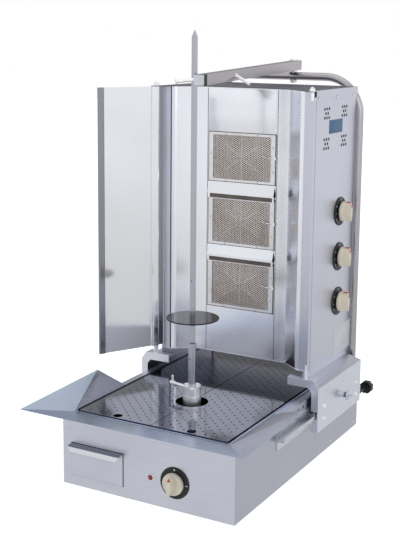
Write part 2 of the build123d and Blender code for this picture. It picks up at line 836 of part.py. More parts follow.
with BuildPart() as lock_screw:
    lock_depth = bracket_x - half_base - thick_sheet - slip
    with BuildSketch(lock_plane.offset(-lock_depth)):
        Circle(lock_radius)
    extrude(amount=lock_depth + 30)
    with BuildSketch(lock_plane.offset(11)):
        Circle(6.5)
    extrude(amount=4)
    with BuildSketch(lock_plane.offset(15)):
        SlotOverall(27, 9, rotation=80)
    extrude(amount=5)
    fillet(lock_screw.edges().group_by(Axis.X)[-1], radius=1)
save(lock_screw, "lock_screw")

# star knob on a stem behind the right bracket
star_plane = Plane(origin=(star_x, bracket_rear, star_z), x_dir=(1, 0, 0), z_dir=(0, -1, 0))
with BuildPart() as star_knob:
    with BuildSketch(star_plane.offset(5)):
        Circle(star_stem)
    extrude(amount=-(star_reach + 12))
    with BuildSketch(star_plane.offset(-star_reach)):
        Circle(9)
    extrude(amount=-6)
    with BuildSketch(star_plane.offset(-(star_reach + 6))):
        Circle(star_radius)
        with PolarLocations(star_radius + 2.5, 8):
            Circle(4.5, mode=Mode.SUBTRACT)
    extrude(amount=-18)
    fillet(star_knob.faces().sort_by(Axis.Y)[-1].edges(), radius=1.5)
save(star_knob, "star_knob")

# burner housing side panels: a sheet with a front return, rounded at its lower front corner
knob_heights = [knob_top_z - knob_pitch * i for i in range(burner_count)]
house_depth = house_rear - house_front
house_mid_y = (house_front + house_rear) / 2


def side_panel(side):
    """One side wall of the burner housing."""
    outer = side * house_half_width
    with BuildPart() as panel:
        with BuildSketch(Plane.YZ.offset(outer)):
            with Locations((house_mid_y, (house_bottom + house_top) / 2)):
                Rectangle(house_depth, house_top - house_bottom)
            corners = vertices().group_by(Axis.Y)[0].sort_by(Axis.X)
            fillet(corners[0], radius=12)
        extrude(amount=-side * sheet)
        with BuildSketch(Plane.XY.offset(floor_z)):
            with Locations((side * (house_half_width - pillar_width / 2), house_front + sheet / 2)):
                Rectangle(pillar_width, sheet)
        extrude(amount=house_top - floor_z)
        with BuildSketch(Plane.YZ.offset(outer)):
            with Locations((house_mid_y + 3, (house_bottom + house_top) / 2 + 6)):
                RectangleRounded(house_depth - 24, house_top - house_bottom - 60, 8)
        extrude(amount=side * panel_relief)
        with BuildSketch(Plane.YZ.offset(outer + side * 1)):
            for y in (house_front + 80, house_front + 194):
                for z in (house_top - 57, house_top - 132):
                    with Locations((y, z + 11), (y, z - 11)):
                        with GridLocations(14, 1, 3, 1):
                            Circle(3.2)
                    with Locations((y, z)):
                        with GridLocations(14, 1, 2, 1):
                            Circle(3.2)
            if side > 0:
                for z in knob_heights:
                    with Locations((knob_y, z)):
                        Circle(6)
        extrude(amount=-side * 4, mode=Mode.SUBTRACT)
    return panel


save(side_panel(-1), "side_panel_left")
save(side_panel(1), "side_panel_right")

# top cover with a down-turned hem and two ears that hold the upper hinge pins
with BuildPart() as top_cover:
    cover_half = house_half_width + 2 * sheet + slip
    with BuildSketch(Plane.XY.offset(house_top)):
        with BuildLine():
            Polyline(
                (-cover_half, house_rear),
                (-cover_half, house_front - 6),
                (-pin_x - 10, pin_y - 10),
                (-pin_x + 12, pin_y - 10),
                (-reflector_x - 8, house_front - 2),
                (-reflector_x, house_front + 4),
                (-fold_x, wall_y - 2),
                (fold_x, wall_y - 2),
                (reflector_x, house_front + 4),
                (reflector_x + 8, house_front - 2),
                (pin_x - 12, pin_y - 10),
                (pin_x + 10, pin_y - 10),
                (cover_half, house_front - 6),
                (cover_half, house_rear),
                close=True,
            )
        make_face()
    extrude(amount=sheet)
    with BuildSketch(Plane.XY.offset(house_top - top_hem)):
        for side in (-1, 1):
            with Locations((side * (cover_half - sheet / 2), house_mid_y + 4)):
                Rectangle(sheet, house_depth - 8)
    extrude(amount=top_hem)
    with BuildSketch(Plane.XY.offset(house_top)):
        for side in (-1, 1):
            with Locations((side * pin_x, pin_y)):
                Circle(pin_radius + fit)
    extrude(amount=sheet, mode=Mode.SUBTRACT)
save(top_cover, "top_cover")

# upper hinge pins with washers and domed nuts
with BuildPart() as hinge_pins:
    for side in (-1, 1):
        with BuildSketch(Plane.XY.offset(shield_top - 20)):
            with Locations((side * pin_x, pin_y)):
                Circle(pin_radius)
        extrude(amount=house_top + sheet + 8 - shield_top + 20)
        with BuildSketch(Plane.XY.offset(house_top + sheet)):
            with Locations((side * pin_x, pin_y)):
                Circle(9)
        extrude(amount=1.5)
        with BuildSketch(Plane.XY.offset(house_top + sheet + 1.5)):
            with Locations((side * pin_x, pin_y)):
                RegularPolygon(7, 6)
        extrude(amount=5)
        with BuildSketch(Plane.XY.offset(house_top + sheet + 6.5)):
            with Locations((side * pin_x, pin_y)):
                Circle(5.8)
        extrude(amount=4, taper=35)
save(hinge_pins, "hinge_pins")

with BuildPart() as back_panel:
    with BuildSketch(Plane.XZ.offset(-house_rear)):
        with Locations((0, (floor_z + house_top) / 2)):
            Rectangle(2 * (house_half_width - sheet), house_top - floor_z)
        with Locations((0, house_top - 90), (0, floor_z + 90)):
            with GridLocations(28, 22, 9, 3):
                SlotOverall(18, 6, mode=Mode.SUBTRACT)
        with Locations((inlet_x, inlet_z)):
            Circle(inlet_radius + 1, mode=Mode.SUBTRACT)
    extrude(amount=sheet)
save(back_panel, "back_panel")

# floor of the housing, cut back along the burner wall and the reflectors
with BuildPart() as housing_floor:
    with BuildSketch(Plane.XY.offset(floor_z - sheet)):
        with BuildLine():
            Polyline(
                (-house_half_width + sheet, house_rear),
                (-house_half_width + sheet, house_front),
                (-reflector_x - 8, house_front),
                (-fold_x, wall_y - 1),
                (fold_x, wall_y - 1),
                (reflector_x + 8, house_front),
                (house_half_width - sheet, house_front),
                (house_half_width - sheet, house_rear),
                close=True,
            )
        make_face()
    extrude(amount=sheet)
save(housing_floor, "housing_floor")

# burner wall with a window for each burner; a hood with a skirt is folded over each but the top one
burner_centres = [burner_top_z - burner_pitch * i for i in range(burner_count)]
with BuildPart() as burner_wall:
    with BuildSketch(Plane.XZ.offset(-wall_y)):
        with Locations((0, (floor_z + house_top) / 2)):
            Rectangle(2 * wall_half - 1, house_top - floor_z)
        for z in burner_centres:
            with Locations((0, z)):
                Rectangle(frame_width - 2, frame_height - 2, mode=Mode.SUBTRACT)
    extrude(amount=-sheet)
    for z in burner_centres[1:]:
        hood_foot = z + frame_height / 2 + 8
        skirt_y = wall_y - hood_skirt_reach
        with BuildSketch(Plane.YZ.offset(-frame_width / 2)):
            with BuildLine():
                Polyline(
                    (wall_y, hood_foot + hood_rise),
                    (wall_y - hood_reach, hood_foot + hood_lip),
                    (wall_y - hood_reach, hood_foot),
                    (skirt_y, hood_foot),
                    (skirt_y, hood_foot - hood_skirt_drop),
                    (skirt_y + sheet, hood_foot - hood_skirt_drop),
                    (skirt_y + sheet, hood_foot + sheet),
                    (wall_y - hood_reach + sheet, hood_foot + sheet),
                    (wall_y - hood_reach + sheet, hood_foot + hood_lip - 0.5),
                    (wall_y, hood_foot + hood_rise - 2.2),
                    close=True,
                )
            make_face()
        extrude(amount=frame_width)
save(burner_wall, "burner_wall")


# reflectors: a strip beside the wall, the angled polished facet and the outer lip
def reflector(side):
    """The folded reflector on one side of the burner wall."""
    with BuildPart() as sheet_metal:
        with BuildSketch(Plane.XY.offset(floor_z)):
            with BuildLine():
                Polyline(
                    (side * (wall_half + 0.2), wall_y),
                    (side * fold_x, wall_y),
                    (side * reflector_x, house_front + 8),
                    (side * (reflector_x + 4), house_front + 4),
                    (side * (house_half_width - pillar_width - slip), house_front + 4),
                    (side * (house_half_width - pillar_width - slip), house_front + 4 + sheet),
                    (side * (reflector_x + 4.6), house_front + 4 + sheet),
                    (side * (reflector_x + 1), house_front + 9),
                    (side * (fold_x + 0.5), wall_y + sheet),
                    (side * (wall_half + 0.2), wall_y + sheet),
                    close=True,
                )
            make_face()
        extrude(amount=house_top - floor_z)
    return sheet_metal


save(reflector(-1), "reflector_left")
save(reflector(1), "reflector_right")


# each burner: a steel box with its window frame; two ceramic tiles and a guard mesh close it
def burner_box(z, number):
    """Plenum, window frame and mixing tube of the burner centred at height z."""
    window_plane = Plane(origin=(0, wall_y, z), x_dir=(1, 0, 0), z_dir=(0, -1, 0))
    with BuildPart() as box:
        with BuildSketch(window_plane.offset(-sheet - 4)):
            Rectangle(frame_width - 4, frame_height - 4)
        extrude(amount=-plenum_depth)
        with BuildSketch(window_plane.offset(-sheet - 4)):
            Rectangle(frame_width - 8, frame_height - 8)
        extrude(amount=-(plenum_depth - 2), mode=Mode.SUBTRACT)
        with BuildSketch(window_plane.offset(2)):
            Rectangle(frame_width, frame_height)
            Rectangle(window_width, window_height, mode=Mode.SUBTRACT)
        extrude(amount=-2)
        with BuildSketch(window_plane):
            Rectangle(frame_width - 4, frame_height - 4)
            Rectangle(frame_width - 8, frame_height - 8, mode=Mode.SUBTRACT)
        extrude(amount=-sheet - 5)
        venturi_plane = Plane(origin=(frame_width / 2 - 3, wall_y + sheet + 4 + plenum_depth / 2, z), z_dir=(1, 0, 0))
        with BuildSketch(venturi_plane):
            Circle(11)
        extrude(amount=44)
        with BuildSketch(venturi_plane.offset(-3)):
            Circle(9)
        extrude(amount=60, mode=Mode.SUBTRACT)
    save(box, f"burner_box_{number}")


for index, height in enumerate(burner_centres):
    burner_box(height, index + 1)

tile_width = (frame_width - 10) / 2
with BuildPart() as ceramic_tiles:
    for z in burner_centres:
        with BuildSketch(Plane.XZ.offset(-(wall_y + sheet + 4))):
            with Locations((0, z)):
                with GridLocations(tile_width + slip, 1, 2, 1):
                    Rectangle(tile_width, frame_height - 8 - slip)
        extrude(amount=-ceramic_thickness)
save(ceramic_tiles, "ceramic_tiles")

bar_pitch = 2 * mesh_pitch
with BuildPart() as guard_mesh:
    for z in burner_centres:
        with BuildSketch(Plane.XZ.offset(-wall_y)):
            with Locations((0, z)):
                Rectangle(window_width + 3, window_height + 3)
                Rectangle(window_width - 2, window_height - 2, mode=Mode.SUBTRACT)
                with GridLocations(bar_pitch, 1, int(window_width / bar_pitch), 1):
                    Rectangle(mesh_wire, window_height + 2)
                with GridLocations(1, bar_pitch, 1, int(window_height / bar_pitch)):
                    Rectangle(window_width + 2, mesh_wire)
        extrude(amount=-mesh_wire)
save(guard_mesh, "guard_mesh")

# gas train: manifold pipe, inlet at the back, one tap behind each knob
with BuildPart() as gas_manifold:
    with BuildSketch(Plane.XY.offset(inlet_z)):
        with Locations((inlet_x, knob_y)):
            Circle(8)
    extrude(amount=knob_top_z + 20 - inlet_z)
    with BuildSketch(Plane.XZ.offset(-knob_y)):
        with Locations((inlet_x, inlet_z)):
            Circle(8)
    extrude(amount=-(house_rear + 4 - knob_y))
    with BuildSketch(Plane.XZ.offset(-(house_rear - 10))):
        with Locations((inlet_x, inlet_z)):
            Circle(inlet_radius)
    extrude(amount=-34)
    with BuildSketch(Plane.XZ.offset(-(house_rear + 4))):
        with Locations((inlet_x, inlet_z)):
            RegularPolygon(inlet_radius + 3, 6)
    extrude(amount=-6)
    with BuildSketch(Plane.XZ.offset(-(house_rear - 10))):
        with Locations((inlet_x, inlet_z)):
            Circle(inlet_radius - 4)
    extrude(amount=-40, mode=Mode.SUBTRACT)
    for z in knob_heights:
        tap_plane = Plane(origin=(inlet_x, knob_y, z), x_dir=(0, 1, 0), z_dir=(1, 0, 0))
        with BuildSketch(tap_plane):
            RectangleRounded(26, 30, 4)
        extrude(amount=house_half_width - sheet - inlet_x)
        with BuildSketch(tap_plane.offset(house_half_width - inlet_x)):
            Circle(4 + fit)
        extrude(amount=-40, mode=Mode.SUBTRACT)
        with BuildSketch(Plane.XZ.offset(-(knob_y - 12))):
            with Locations((inlet_x + 22, z)):
                Circle(5)
        extrude(amount=24)
save(gas_manifold, "gas_manifold")

knob_planes = [
    Plane(origin=(house_half_width + panel_relief, knob_y, z), x_dir=(0, 1, 0), z_dir=(1, 0, 0)) for z in knob_heights
]
save(dial_rings(*knob_planes), "gas_dials")
for index, knob_plane in enumerate(knob_planes):
    with BuildPart() as tap_stem:
        with BuildSketch(knob_plane.offset(bezel_thickness + knob_push + 11.5)):
            Circle(3 - fit)
        extrude(amount=-36)
        with BuildSketch(knob_plane.offset(-8)):
            Circle(4)
        extrude(amount=-22)
    save(tap_stem, f"tap_stem_{index + 1}")
    save(control_knob(knob_plane.offset(bezel_thickness + knob_push), 12, 0), f"gas_knob_{index + 1}")


# mirror shield on the left, built pointing along its own local X from the pin
shield_plane = Plane(origin=(-pin_x, pin_y, shield_bottom), z_dir=(0, 0, 1),
                     x_dir=(cos(radians(shield_angle)), sin(radians(shield_angle)), 0))
with BuildPart() as shield_left:
    with BuildSketch(shield_plane):
        with Locations(((shield_post_front - shield_post_rear) / 2, 0)):
            SlotOverall(shield_post_front + shield_post_rear, shield_post_depth)
        with Locations((-(shield_seal_reach + shield_post_rear - 2) / 2, 0)):
            Rectangle(shield_seal_reach - shield_post_rear + 2, sheet)
        with Locations((shield_length / 2, 0)):
            Rectangle(shield_length - 24, sheet)
        with Locations((shield_length - 9, 0)):
            SlotOverall(18, 7)
    extrude(amount=shield_top - shield_bottom)
    with BuildSketch(shield_plane):
        Circle(pin_radius + pin_fit)
    extrude(amount=26, mode=Mode.SUBTRACT)
    with BuildSketch(shield_plane.offset(shield_top - shield_bottom)):
        Circle(pin_radius + pin_fit)
    extrude(amount=-26, mode=Mode.SUBTRACT)
save(shield_left, "shield_left")

# rear frame: one tube bent into an arch, standing inside the cabinet
with BuildPart() as rear_frame:
    with BuildLine():
        FilletPolyline(
            (-leg_x, leg_y, leg_bottom),
            (-leg_x, leg_y, crossbar_z),
            (leg_x, leg_y, crossbar_z),
            (leg_x, leg_y, leg_bottom),
            radius=bend_radius,
        )
    with BuildSketch(Plane(origin=(-leg_x, leg_y, leg_bottom), z_dir=(0, 0, 1))):
        Circle(tube_radius)
        Circle(tube_radius - tube_wall, mode=Mode.SUBTRACT)
    sweep()
    with BuildSketch(Plane.XY.offset(crossbar_z - tube_radius - 1)):
        with Locations((arm_x, leg_y)):
            Circle(bolt_radius + fit)
    extrude(amount=2 * tube_radius + 2, mode=Mode.SUBTRACT)
save(rear_frame, "rear_frame")

# saddles that clamp each leg to the cabinet's rear wall
with BuildPart() as leg_saddles:
    for side in (-1, 1):
        for z in (40, 130):
            with BuildSketch(Plane.XY.offset(z - 9)):
                with Locations((side * leg_x, leg_y)):
                    Circle(tube_radius + slip / 3 + 2)
                with Locations((side * (leg_x - 7), (leg_y + rear - sheet) / 2 + 4)):
                    Rectangle(30, rear - sheet - leg_y - 8)
                with Locations((side * leg_x, leg_y)):
                    Circle(tube_radius + slip / 3, mode=Mode.SUBTRACT)
            extrude(amount=18)
    with BuildSketch(Plane.XY):
        with Locations((half_base, leg_y), (-half_base, leg_y)):
            Rectangle(2 * (sheet + slip), 60)
    extrude(amount=base_height, mode=Mode.SUBTRACT)
save(leg_saddles, "leg_saddles")

# steadying arm: a square tube sloping down to the front, pivoting on a bolt through the crossbar
arm_slope = (arm_pivot_z - arm_front_z) / (leg_y - arm_front)
with BuildPart() as support_arm:
    with BuildSketch(Plane.YZ.offset(arm_x - arm_side / 2)):
        with BuildLine():
            rear_lift = arm_slope * (arm_rear - leg_y)
            Polyline(
                (arm_front, arm_front_z - arm_side / 2),
                (arm_rear, arm_pivot_z + rear_lift - arm_side / 2),
                (arm_rear, arm_pivot_z + rear_lift + arm_side / 2),
                (arm_front, arm_front_z + arm_side / 2),
                close=True,
            )
        make_face()
    extrude(amount=arm_side)
    with BuildSketch(Plane.YZ.offset(arm_x - arm_side / 2 + arm_wall)):
        with BuildLine():
            inner_half = arm_side / 2 - arm_wall
            Polyline(
                (arm_front - 1, arm_front_z - arm_slope - inner_half),
                (arm_rear + 1, arm_pivot_z + rear_lift + arm_slope - inner_half),
                (arm_rear + 1, arm_pivot_z + rear_lift + arm_slope + inner_half),
                (arm_front - 1, arm_front_z - arm_slope + inner_half),
                close=True,
            )
        make_face()
    extrude(amount=arm_side - 2 * arm_wall, mode=Mode.SUBTRACT)
    with BuildSketch(Plane.XY.offset(arm_pivot_z - arm_side)):
        with Locations((arm_x, leg_y)):
            Circle(bolt_radius + fit)
    extrude(amount=2 * arm_side, mode=Mode.SUBTRACT)
save(support_arm, "support_arm")

# white plastic cap plugged into the arm's front end
with BuildPart() as arm_cap:
    cap_plane = Plane(origin=(arm_x, arm_front, arm_front_z), x_dir=(1, 0, 0), z_dir=(0, -1, 0))
    with BuildSketch(cap_plane):
        RectangleRounded(arm_side, arm_side, 3)
    extrude(amount=4)
    fillet(arm_cap.edges().group_by(Axis.Y)[0], radius=1.5)
    with BuildSketch(cap_plane):
        plug = arm_side - 2 * arm_wall - 1
        RectangleRounded(plug, plug, 2)
    extrude(amount=-8)
save(arm_cap, "arm_cap")

# two rods on the arm that steady the skewer, with a mouth open to the left, and a grip rod
with BuildPart() as arm_guide:
    guide_z = arm_front_z + arm_slope * (spit_y - arm_front)
    arm_left = arm_x - arm_side / 2
    for start_y, end_y in ((spit_y - 14, spit_y - 44), (spit_y + 14, spit_y + 34)):
        start = Vector(arm_left, start_y, guide_z)
        end = Vector(-guide_reach, end_y, guide_z - 4)
        rod_plane = Plane(origin=start, z_dir=end - start)
        with BuildSketch(rod_plane.offset(guide_rod_radius)):
            Circle(guide_rod_radius)
        extrude(amount=(end - start).length - guide_rod_radius)
        with BuildSketch(rod_plane.offset((end - start).length)):
            Circle(guide_rod_radius + 1.5)
        extrude(amount=4)
        with BuildSketch(Plane.YZ.offset(arm_left)):
            with Locations((start_y, guide_z)):
                RectangleRounded(14, 14, 3)
        extrude(amount=-2.5)
    grip_start = Vector(arm_x + arm_side / 2, arm_grip_y, arm_front_z + arm_slope * (arm_grip_y - arm_front))
    grip_plane = Plane(origin=grip_start, z_dir=(cos(radians(27)), 0, -sin(radians(27))))
    with BuildSketch(Plane.YZ.offset(grip_start.X)):
        with Locations((grip_start.Y, grip_start.Z)):
            Circle(6)
    extrude(amount=3)
    with BuildSketch(grip_plane.offset(2.5)):
        Circle(4)
    extrude(amount=arm_grip_length)
save(arm_guide, "arm_guide")

# pivot bolt through the crossbar, with the washers and nut on it
face_lift = 0.5
spacer_bottom = crossbar_z + tube_radius
spacer_top = arm_pivot_z - arm_side / 2 - face_lift
washer_bottom = arm_pivot_z + arm_side / 2 + face_lift
nut_top = crossbar_z - tube_radius
with BuildPart() as arm_bolt:
    with BuildSketch(Plane.XY.offset(nut_top - 8)):
        with Locations((arm_x, leg_y)):
            Circle(bolt_radius)
    extrude(amount=washer_bottom + 1.5 - nut_top + 8)
    with BuildSketch(Plane.XY.offset(washer_bottom + 1.5)):
        with Locations((arm_x, leg_y)):
            Circle(9)
    extrude(amount=3)
    fillet(arm_bolt.edges().group_by(Axis.Z)[-1], radius=1.5)
save(arm_bolt, "arm_bolt")

with BuildPart() as arm_washers:
    for bottom, height, radius in (
        (washer_bottom, 1.5, 11),
        (spacer_bottom, spacer_top - spacer_bottom, 9),
        (nut_top - 6, 6, 9),
    ):
        with BuildSketch(Plane.XY.offset(bottom)):
            with Locations((arm_x, leg_y)):
                Circle(radius)
                Circle(bolt_radius + fit, mode=Mode.SUBTRACT)
        extrude(amount=height)
save(arm_washers, "arm_washers")
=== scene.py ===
from math import atan2, cos, pi, radians, sin

import bmesh
import bpy
from mathutils import Matrix, Vector


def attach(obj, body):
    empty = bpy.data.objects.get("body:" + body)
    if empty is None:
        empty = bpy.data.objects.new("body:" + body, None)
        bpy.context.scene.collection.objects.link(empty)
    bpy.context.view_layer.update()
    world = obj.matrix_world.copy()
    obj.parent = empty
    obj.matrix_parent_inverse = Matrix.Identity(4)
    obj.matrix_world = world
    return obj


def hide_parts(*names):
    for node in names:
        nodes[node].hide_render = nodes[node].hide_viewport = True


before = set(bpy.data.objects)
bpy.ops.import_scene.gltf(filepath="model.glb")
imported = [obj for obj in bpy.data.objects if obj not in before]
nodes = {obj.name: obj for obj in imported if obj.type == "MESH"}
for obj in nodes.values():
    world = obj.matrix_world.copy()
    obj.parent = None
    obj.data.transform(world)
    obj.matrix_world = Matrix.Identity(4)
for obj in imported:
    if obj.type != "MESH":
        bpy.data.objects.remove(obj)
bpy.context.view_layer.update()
mm = 0.001
print("frame loaded:", len(nodes), "nodes")


# small helpers

def hexColour(code):
    channels = [int(code[i:i + 2], 16) / 255 for i in (1, 3, 5)]
    return tuple(c / 12.92 if c <= 0.04045 else ((c + 0.055) / 1.055) ** 2.4 for c in channels) + (1.0,)


def dimmed(colour, share):
    return tuple(c * share for c in colour[:3]) + (1.0,)


# kind is Blender's name for the node without its ShaderNode; inputs are values or other nodes' sockets, by
# name or number, or in the order of the node's sockets
def addNode(tree, kind, inputs=(), **settings):
    node = tree.nodes.new("ShaderNode" + kind)
    for key, value in settings.items():
        setattr(node, key, value)
    for key, value in inputs.items() if isinstance(inputs, dict) else enumerate(inputs):
        if isinstance(value, bpy.types.NodeSocket):
            tree.links.new(value, node.inputs[key])
        else:
            node.inputs[key].default_value = value
    return node


def newMaterial(name):
    material = bpy.data.materials.new(name)
    material.use_nodes = True
    tree = material.node_tree
    tree.nodes.clear()
    return material, tree, addNode(tree, "TexCoord").outputs["Object"]


# materials

# a pattern's scale says how many of its marks go into a metre, and noise seldom leaves noiseSpan
noiseSpan = (0.3, 0.7)
fullSpan = (0.0, 1.0)


# Satin stainless, belt-ground along one direction: pale grey with a cold cast, soft reflections,
# hair lines about 0.4 mm apart, drawn at 1.1 mm so that they show; faint wiping marks 200 mm across.
def satinStainless(name, colour, grain, roughness):
    material, tree, place = newMaterial(name)
    ground = {"X": (8, 900, 900), "Y": (900, 8, 900), "Z": (900, 900, 8)}[grain]
    along = addNode(tree, "Mapping", {"Vector": place, "Scale": ground}).outputs["Vector"]
    hairs = addNode(tree, "TexNoise", {"Vector": along, "Scale": 1.0, "Detail": 3.0}).outputs["Fac"]
    wiping = {"Vector": place, "Scale": 5.0, "Detail": 3.0, "Roughness": 0.55}
    cloud = addNode(tree, "TexNoise", wiping).outputs["Fac"]

    tone = addNode(tree, "MapRange", (cloud, *noiseSpan, *fullSpan)).outputs["Result"]
    base = addNode(tree, "Mix", {0: tone, 6: dimmed(colour, 0.93), 7: colour}, data_type="RGBA")
    hairTone = addNode(tree, "MapRange", (hairs, *noiseSpan, 0.93, 1.04)).outputs["Result"]
    hairGrey = addNode(tree, "CombineColor", (hairTone, hairTone, hairTone)).outputs["Color"]
    lined = addNode(tree, "Mix", {0: 1.0, 6: base.outputs[2], 7: hairGrey},
                    data_type="RGBA", blend_type="MULTIPLY")

    ridges = addNode(tree, "MapRange", (hairs, *noiseSpan, roughness - 0.05, roughness + 0.06))
    patches = addNode(tree, "MapRange", (cloud, *noiseSpan, -0.03, 0.03))
    rough = addNode(tree, "Math", (ridges.outputs["Result"], patches.outputs["Result"]), operation="ADD")
    bump = addNode(tree, "Bump", {"Height": hairs, "Strength": 0.12, "Distance": 0.0004})
    shader = addNode(tree, "BsdfPrincipled", {
        "Base Color": lined.outputs[2], "Roughness": rough.outputs[0], "Metallic": 1.0,
        "Normal": bump.outputs["Normal"]})
    addNode(tree, "OutputMaterial", (shader.outputs[0],))
    return material


# Mirror-polished stainless: sharp reflections a little softened by buffing haze drawn 2 mm apart, slight
# oil-canning of the thin sheet every 300 mm, and dull wiped patches 140 mm across.
def mirrorStainless(name, colour, roughness, haze, waves, darkFrom=None):
    material, tree, place = newMaterial(name)
    cloud = addNode(tree, "TexNoise", {"Vector": place, "Scale": 7.0, "Detail": 4.0}).outputs["Fac"]
    along = addNode(tree, "Mapping", {"Vector": place, "Scale": (500, 500, 14)}).outputs["Vector"]
    buffing = addNode(tree, "TexNoise", {"Vector": along, "Scale": 1.0, "Detail": 2.0}).outputs["Fac"]
    wave = addNode(tree, "TexNoise", {"Vector": place, "Scale": 3.5, "Detail": 0.0}).outputs["Fac"]

    dull = addNode(tree, "MapRange", (cloud, *noiseSpan, roughness, roughness + haze))
    streaks = addNode(tree, "MapRange", (buffing, *noiseSpan, -0.01, 0.02))
    rough = addNode(tree, "Math", (dull.outputs["Result"], streaks.outputs["Result"]), operation="ADD")
    tone = addNode(tree, "MapRange", (cloud, *noiseSpan, *fullSpan)).outputs["Result"]
    base = addNode(tree, "Mix", {0: tone, 6: dimmed(colour, 0.95), 7: colour}, data_type="RGBA")
    if darkFrom is not None:
        # darker towards the burners, over the last 180 mm
        depth = addNode(tree, "SeparateXYZ", (place,)).outputs["Y"]
        heat = addNode(tree, "MapRange", (depth, darkFrom, darkFrom + 0.18, 0.0, 0.85))
        base = addNode(tree, "Mix", {
            0: heat.outputs["Result"], 6: base.outputs[2], 7: hexColour("#3b3a40")}, data_type="RGBA")
    bump = addNode(tree, "Bump", {"Height": wave, "Strength": waves * 0.1, "Distance": 0.02})
    shader = addNode(tree, "BsdfPrincipled", {
        "Base Color": base.outputs[2], "Roughness": rough.outputs[0], "Metallic": 1.0,
        "Normal": bump.outputs["Normal"]})
    addNode(tree, "OutputMaterial", (shader.outputs[0],))
    return material


# Turned steel of the hub and pins: bright, with rings 0.5 mm apart from the lathe tool, and stained in
# spots 17 mm across. On brass the rings are 3 mm apart, and on the spun disc they are broad bands.
def turnedSteel(name, colour, roughness, rings=2000.0):
    material, tree, place = newMaterial(name)
    around = addNode(tree, "Mapping", {"Vector": place, "Scale": (4, 4, rings)}).outputs["Vector"]
    ring = addNode(tree, "TexNoise", {"Vector": around, "Scale": 1.0, "Detail": 1.0}).outputs["Fac"]
    stain = addNode(tree, "TexNoise", {"Vector": place, "Scale": 60.0, "Detail": 3.0}).outputs["Fac"]

    tone = addNode(tree, "MapRange", (stain, *noiseSpan, *fullSpan)).outputs["Result"]
    base = addNode(tree, "Mix", {0: tone, 6: dimmed(colour, 0.85), 7: colour}, data_type="RGBA")
    rough = addNode(tree, "MapRange", (stain, *noiseSpan, roughness - 0.04, roughness + 0.06))
    bump = addNode(tree, "Bump", {"Height": ring, "Strength": 0.15, "Distance": 0.0003})
    shader = addNode(tree, "BsdfPrincipled", {
        "Base Color": base.outputs[2], "Roughness": rough.outputs["Result"], "Metallic": 1.0,
        "Normal": bump.outputs["Normal"]})
    addNode(tree, "OutputMaterial", (shader.outputs[0],))
    return material


# Zinc-plated steel: duller grey than stainless, with a crystal mottle 4 mm across and greyer clouds.
def zincPlate(name, colour):
    material, tree, place = newMaterial(name)
    crystals = addNode(tree, "TexVoronoi", {"Vector": place, "Scale": 250.0}).outputs["Color"]
    cloud = addNode(tree, "TexNoise", {"Vector": place, "Scale": 18.0, "Detail": 4.0}).outputs["Fac"]
    mottle = addNode(tree, "SeparateColor", (crystals,)).outputs[0]

    tone = addNode(tree, "Mix", {0: mottle, 6: dimmed(colour, 0.82), 7: colour}, data_type="RGBA")
    greyed = addNode(tree, "MapRange", (cloud, *noiseSpan, 0.0, 0.35)).outputs["Result"]
    base = addNode(tree, "Mix", {0: greyed, 6: tone.outputs[2], 7: hexColour("#8d9095")}, data_type="RGBA")
    rough = addNode(tree, "MapRange", (mottle, *fullSpan, 0.34, 0.5))
    shader = addNode(tree, "BsdfPrincipled", {
        "Base Color": base.outputs[2], "Roughness": rough.outputs["Result"], "Metallic": 1.0})
    addNode(tree, "OutputMaterial", (shader.outputs[0],))
    return material


# Heat-stained steel of the burner frames and mesh: grey with straw and blue temper colours in patches
# 70 mm across, and scale grit drawn 2.4 mm apart.
def heatStainedSteel(name, colour, roughness):
    material, tree, place = newMaterial(name)
    heat = addNode(tree, "TexNoise", {"Vector": place, "Scale": 14.0, "Detail": 4.0}).outputs["Fac"]
    grit = addNode(tree, "TexNoise", {"Vector": place, "Scale": 420.0, "Detail": 2.0}).outputs["Fac"]

    straw = addNode(tree, "MapRange", (heat, *noiseSpan, 0.0, 0.3)).outputs["Result"]
    warm = addNode(tree, "Mix", {0: straw, 6: colour, 7: hexColour("#b9a78e")}, data_type="RGBA")
    blue = addNode(tree, "MapRange", (heat, 0.62, 0.8, 0.0, 0.4)).outputs["Result"]
    base = addNode(tree, "Mix", {0: blue, 6: warm.outputs[2], 7: hexColour("#7f8598")}, data_type="RGBA")
    rough = addNode(tree, "MapRange", (grit, *noiseSpan, roughness - 0.06, roughness + 0.08))
    bump = addNode(tree, "Bump", {"Height": grit, "Strength": 0.1, "Distance": 0.0004})
    shader = addNode(tree, "BsdfPrincipled", {
        "Base Color": base.outputs[2], "Roughness": rough.outputs["Result"], "Metallic": 1.0,
        "Normal": bump.outputs["Normal"]})
    addNode(tree, "OutputMaterial", (shader.outputs[0],))
    return material
